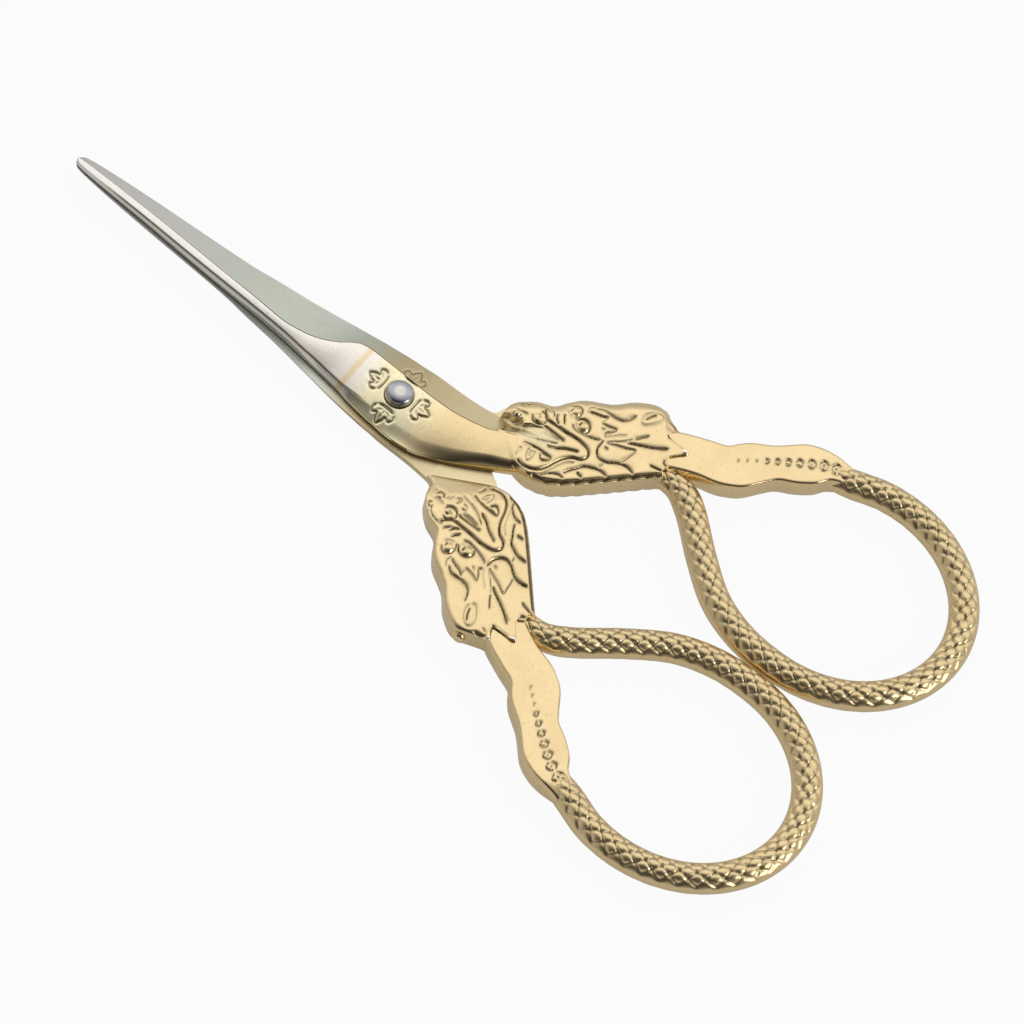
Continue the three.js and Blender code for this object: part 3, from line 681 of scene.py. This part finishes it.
def head():
    share = np.linspace(0, 1, HEAD_STATIONS)
    crest, throat = crest_line.at(share), throat_line.at(share)
    width = np.linalg.norm(throat - crest, axis=1)[:, None]
    even = np.linspace(0, EVEN_REACH, EVEN_ROWS)
    left = np.linspace(1, 0, CLOSING_ROWS + 1)[1:] ** CLOSING_POWER
    t = np.concatenate([even, 1 - (1 - EVEN_REACH) * left])
    inward = (crest - throat) / width
    plan = lerp(crest[:, None], (throat + BARREL / 2 * inward)[:, None], t[None, :, None])
    grown = tufts(t)[None] * HEAD_LENGTH * smooth(share, TUFT_START, 1)[:, None]
    plan = plan + grown[..., None] * head_axis
    across = t[None] * width
    from_start = share[:, None] * crest_line.length

    throat_cut = Line(lerp(crest, throat, 1 - THROAT_CUT_INSET / width)[::THROAT_CUT_STRIDE])
    throat_points = -throat_cut.at(np.linspace(*THROAT_CUT_SPAN, THROAT_CUT_POINTS))
    strokes = [*MOUTH, *THROAT, *JOWL, *BROW, *SNOUT, *MANE]
    strokes.append((throat_points, THROAT_CUT_HALF, THROAT_CUT))
    cut, pillow = carved(-plan, strokes)
    tips = domes(-plan, TIPS)
    beads = np.maximum(domes(-plan, BEADS), tips)
    relief = np.clip(FACE_SUNK + pillow - beads, 0, None) + CUT_SHARE * cut
    relief = relief * smooth(from_start, *RELIEF_START)
    rim = smooth(across, width - RIM_WIDTH, width - RIM_FULL) * smooth(from_start, *RIM_START)
    relief = relief + RIM_FALL * rim * (1 - np.abs(np.sin(pi * from_start / RIM_PITCH)))
    relief = relief + RIM_ROUND * rounded(1 - (crest_line.length - from_start) / RIM_ROUND)

    def face(crest_half, slope, full, rounding):
        side = np.clip(1 - across / slope, 0, 1)
        into = (across - (width - rounding)) / rounding
        return full - (full - crest_half) * side**2 - THROAT_ROUND * rounded(into) - relief

    rounding = lerp(NECK_ROUND, THROAT_ROUND, smooth(share, 0, NECK_ROUND_END))[:, None]
    upper = face(CREST_HALF, CREST_SLOPE, HEAD_HALF, rounding)
    neck = polished_height(plan[..., 0], plan[..., 1]) - UNDERLAP
    upper = lerp(np.minimum(neck, upper), upper, smooth(from_start, *NECK_MELTS))
    upper, run = run_into_jaw(plan, upper)
    front = FRONT_ROUND * front_rounding(share)[:, None]
    under = -face(CREST_UNDER_HALF - front, CREST_UNDER_SLOPE, HEAD_HALF - front, THROAT_ROUND)

    throat_wall, crest_wall = [], []
    for level in np.linspace(0, 1, WALL_ROWS + 2)[1:-1]:
        z = lerp(upper[:, -1], under[:, -1], level)
        bellied = BARREL / 2 - drawn_in(z, HEAD_HALF)
        throat_wall.append(at_height(plan[:, -1] - inward * bellied[:, None], z))
        crest_wall.append(at_height(plan[:, 0], lerp(under[:, 0], upper[:, 0], level)))
    rings = round_slab(at_height(plan, upper), throat_wall, at_height(plan, under), crest_wall)

    bare = np.zeros((WALL_ROWS, HEAD_STATIONS))
    # The metal that falls away beside the strokes is darkened as painted shade.
    dark = np.maximum(cut / FULL_CUT, VALLEY_SHADE * pillow / pillow.max())
    under_run = np.broadcast_to(1 - smooth(from_start, *UNDER_GROUND), run.shape)
    # The raised tips of the mane are painted pale, a painted highlight.
    painted_highlight = smooth(tips, *TIP_HIGHLIGHT)
    marks = {
        "carved": round_slab(dark * (1 - run), bare, dark, bare),
        "ground": round_slab(run, bare, under_run, bare),
        "painted_highlight": round_slab(painted_highlight, bare, painted_highlight, bare),
    }
    # Each ring starts halfway up the crest wall, so that its points pair off.
    start = WALL_ROWS // 2
    marks = {mark: np.roll(shares, start, axis=1) for mark, shares in marks.items()}
    return closed_mesh(np.roll(rings, start, axis=1), marks, walled=True)


# A round knob of mane on the crest

KNOB_PLACE = (-23.6, -18.95)
KNOB_RADII = (0.85, 0.55, 0.85)


def knob():
    angles = np.radians(np.arange(0, 181, 12))
    ball = turned(list(zip(np.sin(angles), -np.cos(angles))), 40)
    ball.transform(Matrix.Translation((*KNOB_PLACE, 0)) @ Matrix.Diagonal((*KNOB_RADII, 1)))
    return ball


# Finger loop: a bar swept from the head round an ellipse into the plate, with a lattice of scales

loop_centre = np.array([LOOP_CENTRE_X, -(LOOP_HALF_WIDTH + TUBE_RADIUS + LOOP_GAP / 2)])


def on_loop(degrees):
    angle = radians(degrees)
    reach = np.array([-LOOP_HALF_LENGTH * sin(angle), LOOP_HALF_WIDTH * cos(angle)])
    return loop_centre + reach


bar_start = on_head((0.95, -0.105))
plate_end = on_loop(LOOP_END)
bar_run = [
    lerp(bar_start, on_loop(0), np.array(shares))
    for shares in [(0, 0), (0.115, 0.02), (0.23, 0.17), (0.41, 0.51), (0.6, 0.81), (0.8, 0.965)]
]
bar_arc = [on_loop(LOOP_END * i / ARC_POINTS) for i in range(ARC_POINTS + 1)]

LOOP_SPACING = 0.17  # between two rings of points
LOOP_SIDES = 56
LATTICE_SIDES = 6  # scales round the bar, which fade away at its sides
SCALE_FULLNESS = 1.25  # 1 is a diamond and 2 is round
SCALE_FADE = (0.3, 0.72)  # heights on the bar, as shares, between which the scales come in
SCALE_CRISP = (0.75, 0.95)  # and between which their grooves become full
FAINT_GROOVE = 0.6
SCALE_CUT = 0.24
SCALE_DOME = 0.1
SCALE_EDGE = 0.85  # reach of a scale's dome, as a share of its half size
SCALE_TILT = 0.1  # how far each scale falls from one end to the other
SCALE_GROOVE = (0.72, 0.89)
GROOVE_UNLIKE, DOME_UNLIKE, TILT_UNLIKE = 0.05, 0.3, 0.5  # how far the scales differ
GROOVE_DARK = 0.85
LOOP_SATIN = 0.6
WITHIN = 0.004  # the bar keeps this far inside its faceted solid's reach


def finger_loop():
    into_plate = plate_end - bar_arc[-2]
    into_plate *= BAR_SUNK / np.linalg.norm(into_plate)
    line = Line([*bar_run, *bar_arc, plate_end + into_plate])
    share = np.linspace(0, 1, int(line.length / LOOP_SPACING))
    middle, way = line.at(share), line.way(share)
    ends = np.minimum(share, 1 - share) * line.length
    radius = lerp(TUBE_ROOT_RADIUS, TUBE_RADIUS, smooth(ends, 0, ROOT_TAPER))
    angle = 2 * pi * (np.arange(LOOP_SIDES) + 0.5) / LOOP_SIDES

    # Where each point lies in its own scale, along and round the bar
    p = (share * round(line.length / SCALE_PITCH))[:, None]
    q = LATTICE_SIDES * (angle / (2 * pi) - 0.25)[None]
    first, second = (p + q) % 1 - 0.5, (p - q) % 1 - 0.5
    forward, sideways = (first + second) / 2, (first - second) / 2
    along, round_bar = np.abs(forward), np.abs(sideways)
    from_middle = 2 * (along**SCALE_FULLNESS + round_bar**SCALE_FULLNESS) ** (1 / SCALE_FULLNESS)
    # A steady number from -1 to 1 for each scale
    unlike = np.sin(12.9898 * np.floor(p + q) + 78.233 * np.floor(p - q))

    height = np.abs(np.sin(angle))[None]
    fade = smooth(height, *SCALE_FADE)
    crisp = lerp(FAINT_GROOVE, 1, smooth(height, *SCALE_CRISP))
    groove = smooth(from_middle, SCALE_GROOVE[0] + GROOVE_UNLIKE * unlike, SCALE_GROOVE[1]) * crisp
    fallen = SCALE_DOME * np.clip(from_middle / SCALE_EDGE, 0, 1) ** 2 * (1 + DOME_UNLIKE * unlike)
    tilt = SCALE_TILT * (0.5 + forward + TILT_UNLIKE * (0.5 + unlike * sideways))
    reach = radius[:, None] - fade * (fallen + SCALE_CUT * groove + tilt) - WITHIN
    across = (reach * np.cos(angle)[None])[..., None]
    place = middle[:, None] + across * np.stack([-way[:, 1], way[:, 0]], axis=-1)[:, None]
    rings = at_height(place, reach * np.sin(angle)[None])
    satin = np.full(reach.shape, LOOP_SATIN)
    return closed_mesh(rings, {"carved": GROOVE_DARK * groove * fade, "satin": satin})


# Wavy plate

plate_root = on_head((1, 0))
on_plate = beside(plate_root, plate_end - plate_root)

outer_wave = Line(on_plate([
    (-0.1, 0.12), (-0.02, 0.15), (0.05, 0.156), (0.187, 0.134), (0.29, 0.114), (0.353, 0.134),
    (0.42, 0.15), (0.54, 0.152), (0.62, 0.166), (0.72, 0.187), (0.8, 0.178), (0.87, 0.153),
    (1, 0.083), (1.08, 0.055),
]))
inner_wave = Line(on_plate([
    (-0.15, -0.09), (0, -0.095), (0.12, -0.113), (0.24, -0.15), (0.33, -0.158), (0.403, -0.148),
    (0.511, -0.103), (0.58, -0.081), (0.68, -0.085), (0.785, -0.072), (0.87, -0.039), (1, -0.05),
    (1.08, -0.05),
]))

PLATE_STATIONS = 150
# Shares of the plate's width, closer together at its two rims
PLATE_ROWS = [0, 0.01, 0.025, 0.045, 0.07, *np.linspace(0.1, 0.9, 30), 0.93, 0.955, 0.975, 0.99, 1]
PLATE_WALL_ROWS = 7
PLATE_END_SUNK = 1.0  # the plate sinks into the finger loop's bar
PLATE_END = 0.83  # from this share of its length

# The row of marks that grows along the plate, from dots to full scales
MARK_PATH = Line([(-33.8, -19.3), (-36.3, -21.5), (-38.7, -23.4), (-41.3, -25.3), (-42.8, -26.0)])
MARKS = 10
MARK_DOTS = 3  # the others are outlined scales, the larger with a dot inside
DOTTED_FROM = 7
MARK_CLOSENESS = 0.8  # spacing of the first marks, as a share of the last ones'
MARK_LENGTH = 1.1  # of a mark across the row, as a share of its size
mark_size = through([(0, 0.1), (0.3, 0.22), (0.6, 0.4), (1, 0.62)])
MARK_HALF = 0.13
DOT_HALF = 0.18
MARK_CUT = 0.2


def plate_strokes():
    strokes = []
    for i in range(MARKS):
        share = i / (MARKS - 1)
        spaced = share * lerp(MARK_CLOSENESS, 1, share)
        place, way, size = MARK_PATH.at(spaced), MARK_PATH.way(spaced, 0.05), float(mark_size(share))
        long = MARK_LENGTH * size
        paths = []
        if i >= MARK_DOTS:
            paths.append(([(-size, 0), (0, long), (size, 0), (0, -long), (-size, 0)], MARK_HALF))
        if i < MARK_DOTS or i >= DOTTED_FROM:
            paths.append(([(-0.02, 0), (0.02, 0)], DOT_HALF))
        strokes += [(beside(place, way)(path), half, MARK_CUT) for path, half in paths]
    return strokes


def plate():
    share = np.linspace(0, 1, PLATE_STATIONS)
    outer, inner = outer_wave.at(share), inner_wave.at(share)
    width = np.linalg.norm(inner - outer, axis=1)[:, None]
    inset = drawn_in(PLATE_HALF - RIM_ROUND, PLATE_HALF)
    toward = ((inner - outer) / width)[:, None]
    t = np.array(PLATE_ROWS)[None]
    flat = width - 2 * inset
    plan = outer[:, None] + (inset + t * flat)[..., None] * toward
    rim = np.minimum(t, 1 - t) * flat
    drop = RIM_ROUND * rounded(1 - rim / RIM_ROUND)
    cut, pillow = carved(plan, plate_strokes())
    sunk = PLATE_END_SUNK * smooth(share, PLATE_END, 1)[:, None]
    height = PLATE_HALF - sunk - drop - cut - FLAT_PILLOW * pillow
    inner_wall, outer_wall = [], []
    for level in np.linspace(1, -1, PLATE_WALL_ROWS + 2)[1:-1]:
        z = height[:, -1] * level
        bellied = (inset - drawn_in(z, PLATE_HALF))[:, None] * toward[:, 0]
        inner_wall.append(at_height(plan[:, -1] + bellied, z))
        outer_wall.append(at_height(plan[:, 0] - bellied, -height[:, 0] * level))
    rings = round_slab(at_height(plan, height), inner_wall, at_height(plan, -height), outer_wall)
    bare = np.zeros((PLATE_WALL_ROWS, PLATE_STATIONS))
    return closed_mesh(rings, {"carved": round_slab(cut, bare, cut, bare) / MARK_CUT})


# The rivet and the bore for it

RIVET_TAIL_BEVEL = 0.6  # height of the tail's bevel, as a share of the tail's
RIVET_RIM = 0.3  # height of the head's upright rim, as a share of the head's


def bore():
    radius = RIVET_RADIUS + RIVET_CLEARANCE
    reach = 2 * LAYER
    return turned([(0, -reach), (radius, -reach), (radius, reach), (0, reach)])


def rivet():
    tail, seat = RIVET_TAIL_HEIGHT, LAP_HEIGHT + RIVET_SEAT
    profile = [(0, 0), (RIVET_TAIL_FLAT * RIVET_TAIL_RADIUS, 0)]
    profile += [(RIVET_TAIL_RADIUS, RIVET_TAIL_BEVEL * tail), (RIVET_TAIL_RADIUS, tail)]
    profile += [(RIVET_RADIUS, tail), (RIVET_RADIUS, seat), (RIVET_HEAD_RADIUS, seat)]
    rim = RIVET_RIM * RIVET_HEAD_HEIGHT
    for degrees in range(0, 91, 9):
        angle = radians(degrees)
        reach = lerp(RIVET_LAND_RADIUS, RIVET_HEAD_RADIUS, cos(angle))
        profile.append((reach, seat + lerp(rim, RIVET_HEAD_HEIGHT, sin(angle))))
    profile.append((0, seat + RIVET_HEAD_HEIGHT))
    return turned(profile)


# Placing

CREASE = 68  # degrees between two faces, past which the edge stays sharp


def finished(name, mesh, placing, body, cad_node, material):
    """A visible piece that rides on its body, in place of its CAD node."""
    mesh.name = name
    mesh.transform(Matrix.Scale(MM, 4) @ placing)
    mesh.polygons.foreach_set("use_smooth", np.ones(len(mesh.polygons), bool))
    mesh.set_sharp_from_angle(angle=radians(CREASE))
    mesh.materials.clear()
    mesh.materials.append(material)
    piece = linked(name, mesh)
    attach(piece, body)
    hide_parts(cad_node)


# Materials

def emptied(owner):
    """A new material or world and its shader nodes, without those it comes with."""
    owner.use_nodes = True
    owner.node_tree.nodes.clear()
    return owner, owner.node_tree


def node(tree, kind, inputs=None, output=0, **settings):
    """The output of a new shader node; an input is linked if given a socket, and else set."""
    made = tree.nodes.new("ShaderNode" + kind)
    for key, value in settings.items():
        setattr(made, key, value)
    for key, value in (inputs or {}).items():
        if isinstance(value, bpy.types.NodeSocket):
            tree.links.new(value, made.inputs[key])
        else:
            made.inputs[key].default_value = value
    return made.outputs[output] if made.outputs else None


def maths(tree, operation, *values):
    return node(tree, "Math", dict(enumerate(values)), operation=operation)


def measured(tree, operation, *vectors):
    """The length of a vector, or the dot product of two."""
    return node(tree, "VectorMath", dict(enumerate(vectors)), "Value", operation=operation)


def mixed(tree, share, first, second):
    return node(tree, "Mix", {0: share, 6: first, 7: second}, 2, data_type="RGBA")


def tinted(tree, colour, share, strength, tint):
    """The colour with a share of the tint over it."""
    return mixed(tree, maths(tree, "MULTIPLY", share, strength), colour, tint)


def ranged(tree, value, low, high, start=0.0, end=1.0):
    """A smooth step from start to end while the value runs from low to high."""
    limits = {"Value": value, "From Min": low, "From Max": high, "To Min": start, "To Max": end}
    return node(tree, "MapRange", limits, interpolation_type="SMOOTHSTEP")


def noise(tree, place, kind):
    return node(tree, "TexNoise", {"Vector": place, "Scale": kind[0], "Detail": kind[1]}, "Fac")


def metallic(tree, colour, roughness, normal):
    inputs = {"Base Color": colour, "Metallic": 1.0, "Roughness": roughness, "Normal": normal}
    node(tree, "OutputMaterial", {"Surface": node(tree, "BsdfPrincipled", inputs)})


GOLD = (0.81, 0.63, 0.35, 1)
PALE_GOLD = (0.86, 0.78, 0.52, 1)
DEEP_GOLD = (0.72, 0.52, 0.24, 1)
TAN = (0.58, 0.48, 0.28, 1)
SCORED = (0.14, 0.1, 0.045, 1)
SCORED_STEEL = (0.1, 0.1, 0.095, 1)
# Pale colour of the painted highlight on the mane's tips
HIGHLIGHT_PALE = (0.92, 0.86, 0.7, 1)
ORANGE = (0.76, 0.58, 0.33, 1)
ROSE_STEEL = (0.83, 0.77, 0.69, 1)
STEEL = (0.78, 0.76, 0.71, 1)
GROUND_GOLD = (0.84, 0.71, 0.43, 1)
GROUND_STEEL = (0.62, 0.65, 0.56, 1)
KEEN_STEEL = (0.66, 0.65, 0.61, 1)
RIVET_GREYS = (0.34, 0.35, 0.38, 1), (0.46, 0.46, 0.48, 1)
# Pale grey of the painted highlight on the rivet's head
RIVET_HIGHLIGHT = (0.64, 0.6, 0.57, 1)

# Scale and detail of each noise
CLOUDS = (260, 4)
MOTTLE = (1500, 3)
PITS = (3100, 1)
GRAIN = (5200, 3)
RIVET_GRAIN = (1800, 4)

# Places between which one colour turns into the next, in millimetres
GOLD_PALES = (-7.0, -1.0)
PLATING_ENDS = (2.6, 5.4)
TINT_STARTS, TINT_ENDS = (5.3, 5.8), (5.9, 6.6)  # an orange line of heat beside the plating
STEEL_COOLS = (9.0, 20.0)
GROUND_GOLD_TANS = (-13.0, -1.0)
GROUND_GOLD_ENDS = (1.5, 9.0)
GROUND_STEEL_PALES = (20.0, 34.0)
LINES_GREY = (4.5, 7.5)
# the painted highlight on the rivet's head is full inside the second radius and gone past the first
RIVET_HIGHLIGHT_RADII = (0.8, 0.5)

SATIN_ROUGH = 0.38


def gilt_steel():
    """Gold plate that stops short of the bare steel blade, dark where it is engraved, with painted
    shade beside the strokes and along the blade and painted highlights on the mane.
    """
    material, tree = emptied(bpy.data.materials.new("gilt_steel"))
    place = node(tree, "TexCoord", output="Object")
    x = node(tree, "SeparateXYZ", {0: place})

    def along(places):
        return ranged(tree, x, places[0] * MM, places[1] * MM)

    clouds, mottle, grain = (noise(tree, place, kind) for kind in (CLOUDS, MOTTLE, GRAIN))
    pits = ranged(tree, noise(tree, place, PITS), 0.66, 0.76)
    # The first mark also holds painted shade, and the third is a painted highlight.
    cut, ground, painted_highlight, satin = (
        node(tree, "Attribute", output="Fac", attribute_name=mark) for mark in SURFACE_MARKS
    )

    plated = mixed(tree, along(GOLD_PALES), GOLD, PALE_GOLD)
    plated = tinted(tree, plated, ranged(tree, clouds, 0.4, 0.75), 0.2, DEEP_GOLD)
    steel = mixed(tree, along(STEEL_COOLS), ROSE_STEEL, STEEL)
    polished = mixed(tree, along(PLATING_ENDS), plated, steel)
    band = maths(tree, "MULTIPLY", along(TINT_STARTS), maths(tree, "SUBTRACT", 1.0, along(TINT_ENDS)))
    polished = tinted(tree, polished, band, 0.8, ORANGE)
    ground_gold = mixed(tree, along(GROUND_GOLD_TANS), GROUND_GOLD, TAN)
    ground_steel = mixed(tree, along(GROUND_STEEL_PALES), GROUND_STEEL, KEEN_STEEL)
    brushed = mixed(tree, along(GROUND_GOLD_ENDS), ground_gold, ground_steel)
    colour = mixed(tree, ground, polished, brushed)
    for share, strength, tint in (
        (ranged(tree, mottle, 0.45, 0.75), 0.05, SCORED),
        (pits, ranged(tree, ground, 0.0, 1.0, 0.3, 0.12), SCORED),
        # painted highlight on the tips of the mane
        (painted_highlight, 0.8, HIGHLIGHT_PALE),
        # A tan tint is painted shade beside the strokes; the deeper marks below are dark with patina,
        # and on the blade's ridge and roll with painted shade.
        (ranged(tree, cut, 0.0, 0.35), 0.55, TAN),
        (ranged(tree, cut, 0.3, 0.8), 0.9, mixed(tree, along(LINES_GREY), SCORED, SCORED_STEEL)),
    ):
        colour = tinted(tree, colour, share, strength, tint)

    smoothness = ranged(tree, clouds, 0.3, 0.7, 0.15, 0.24)
    matt = maths(tree, "MAXIMUM", maths(tree, "MAXIMUM", ground, satin), ranged(tree, cut, 0.0, 0.6))
    rough = node(tree, "Mix", {0: matt, 2: smoothness, 3: SATIN_ROUGH}, data_type="FLOAT")
    pitted = node(tree, "Bump", {"Strength": 0.25, "Distance": 0.03 * MM, "Height": mottle})
    fine = {"Strength": 0.15, "Distance": 0.02 * MM, "Height": grain, "Normal": pitted}
    metallic(tree, colour, rough, node(tree, "Bump", fine))
    return material


def rivet_steel():
    """Grey steel with a painted highlight on the top of the head."""
    material, tree = emptied(bpy.data.materials.new("rivet_steel"))
    place = node(tree, "TexCoord", output="Object")
    grain = noise(tree, place, RIVET_GRAIN)
    level = node(tree, "VectorMath", {0: place, 1: (1, 1, 0)}, operation="MULTIPLY")
    # The middle of the head's top is paler, a painted highlight.
    painted_highlight = ranged(tree, measured(tree, "LENGTH", level), *(r * MM for r in RIVET_HIGHLIGHT_RADII))
    colour = mixed(tree, painted_highlight, mixed(tree, grain, *RIVET_GREYS), RIVET_HIGHLIGHT)
    bump = node(tree, "Bump", {"Strength": 0.3, "Distance": 0.03 * MM, "Height": grain})
    metallic(tree, colour, ranged(tree, grain, 0.3, 0.7, 0.18, 0.32), bump)
    return material


# The scissors

forging = joined(blade_and_neck(), bore(), head(), knob(), plate(), finger_loop())
mark_lapped_face(forging)
lifted = Matrix.Translation((0, 0, LAP_HEIGHT))
turned_over = lifted @ Matrix.Rotation(pi, 4, "X")
gilt = gilt_steel()
finished("front_forging", forging.copy(), lifted, "front", "front_half", gilt)
finished("rear_forging", forging, turned_over, "rear", "rear_half", gilt)
finished("rivet", rivet(), Matrix.Identity(4), "rear", "pivot_rivet", rivet_steel())


# Table, light and camera

FLOOR_HALF = 3.0  # metres
FLOOR_DROP = 0.05 * MM
FLOOR_SEEN = 0.95  # share of its own white in the floor, to the camera
FLOOR_MIRRORED = 0.38  # and in the metal


def table():
    material, tree = emptied(bpy.data.materials.new("table"))
    matt = {"Base Color": (0.5, 0.5, 0.5, 1), "Roughness": 0.9, "Specular IOR Level": 0.0}
    surface = node(tree, "BsdfPrincipled", matt)
    rays = node(tree, "LightPath").node.outputs
    seen = maths(tree, "MULTIPLY", rays["Is Camera Ray"], FLOOR_SEEN)
    mirrored = maths(tree, "MAXIMUM", rays["Is Glossy Ray"], rays["Is Transmission Ray"])
    share = maths(tree, "MAXIMUM", seen, maths(tree, "MULTIPLY", mirrored, FLOOR_MIRRORED))
    glow = node(tree, "Emission")
    blend = node(tree, "MixShader", {0: share, 1: surface, 2: glow})
    node(tree, "OutputMaterial", {"Surface": blend})
    mesh = bpy.data.meshes.new("table")
    corners = [(x * FLOOR_HALF, y * FLOOR_HALF, 0) for x, y in ((-1, -1), (1, -1), (1, 1), (-1, 1))]
    mesh.from_pydata(corners, [], [(0, 1, 2, 3)])
    mesh.materials.append(material)
    floor = linked("table", mesh)
    floor.location.z = -FLOOR_DROP


# Levels of the sky from behind the scissors, over the top and down behind the camera
BRIGHTEST = 1.22
SKY = [
    (-1, 0.58), (-0.87, 0.84), (-0.66, 1.14), (-0.52, 1.22), (-0.4, 1.17), (-0.27, 0.96),
    (-0.1, 0.68), (0.1, 0.38), (0.3, 0.16), (0.5, 0.06), (0.68, 0.03), (0.84, 0.04), (0.94, 0.25),
    (1, 0.45),
]
TOWARDS_CAMERA = (-0.4, 0.916, 0.0)
PICTURE_RIGHT = (-0.916, -0.4, 0.0)
SIDE_FALL, SIDE_LEVEL = (0.55, 1.0), 0.5  # the sky falls to this share at both sides
TIP_FILL_FROM, TIP_FILL = (-0.45, -0.75), 0.42  # light from beyond the blades' tips
SIDE_LAMP = (-0.9, -0.08, 0.45)
SIDE_LAMP_SIZE = 0.5
SIDE_LAMP_POWER = 3.0


def studio():
    """Soft light from above and behind that falls off towards the camera and the sides."""
    bpy.context.scene.world, tree = emptied(bpy.data.worlds.new("studio"))
    towards = node(tree, "TexCoord", output="Generated")
    near = measured(tree, "DOT_PRODUCT", towards, TOWARDS_CAMERA)
    right = measured(tree, "DOT_PRODUCT", towards, PICTURE_RIGHT)
    ramp = node(tree, "ValToRGB", {0: node(tree, "MapRange", {"Value": near, "From Min": -1.0})})
    stops = ramp.node.color_ramp.elements
    for position, _ in SKY[1:-1]:
        stops.new((position + 1) / 2)
    for stop, (_, level) in zip(stops, SKY):
        stop.color = (*[level / BRIGHTEST] * 3, 1)
    endwise = ranged(tree, maths(tree, "ABSOLUTE", right), *SIDE_FALL, 1.0, SIDE_LEVEL)
    fill = ranged(tree, right, *TIP_FILL_FROM, 0.0, TIP_FILL)
    light = maths(tree, "MAXIMUM", maths(tree, "MULTIPLY", ramp, endwise), fill)
    lit = node(tree, "Background", {0: light, 1: BRIGHTEST})
    white = node(tree, "Background", {0: (1, 1, 1, 1)})
    seen = node(tree, "LightPath", output="Is Camera Ray")
    blend = node(tree, "MixShader", {0: seen, 1: lit, 2: white})
    node(tree, "OutputWorld", {"Surface": blend})

    lamp = bpy.data.lights.new("side_lamp", "AREA")
    lamp.size = SIDE_LAMP_SIZE
    lamp.energy = SIDE_LAMP_POWER
    shone = linked("side_lamp", lamp)
    away = Vector(SIDE_LAMP)
    shone.matrix_world = Matrix.Translation(away) @ away.to_track_quat("Z", "Y").to_matrix().to_4x4()


# The camera, in pixels, millimetres and degrees
FOCAL_PIXELS = 6500
IMAGE_PIXELS = 1024
CAMERA_DISTANCE = 731.2
CAMERA_TILT = 30.0
CAMERA_TURN = 113.757
CAMERA_ROLL = 16.185
PIVOT_PIXEL = (397.67, 401.05)
SENSOR_WIDTH = 36
CLIP_NEAR, CLIP_FAR = 0.01, 20  # metres


def camera():
    """A long lens that puts the middle of the lap under the rivet at PIVOT_PIXEL."""
    tilt, turn, roll = map(radians, (CAMERA_TILT, CAMERA_TURN, CAMERA_ROLL))
    behind = Vector((sin(tilt) * cos(turn), sin(tilt) * sin(turn), cos(tilt)))
    level = Vector((0, 0, 1)).cross(behind).normalized()
    upright = behind.cross(level)
    right = cos(roll) * level + sin(roll) * upright
    up = cos(roll) * upright - sin(roll) * level
    off = [(p - IMAGE_PIXELS / 2) / FOCAL_PIXELS * CAMERA_DISTANCE for p in PIVOT_PIXEL]
    place = behind * CAMERA_DISTANCE - right * off[0] + up * off[1] + Vector((0, 0, LAP_HEIGHT))
    data = bpy.data.cameras.new("camera")
    data.sensor_width = SENSOR_WIDTH
    data.lens = FOCAL_PIXELS / IMAGE_PIXELS * SENSOR_WIDTH
    data.clip_start, data.clip_end = CLIP_NEAR, CLIP_FAR
    made = linked("camera", data)
    facing = Matrix((right, up, behind)).transposed().to_4x4()
    made.matrix_world = Matrix.Translation(place * MM) @ facing
    bpy.context.scene.camera = made


table()
studio()
camera()
bpy.context.scene.view_settings.view_transform = "Standard"
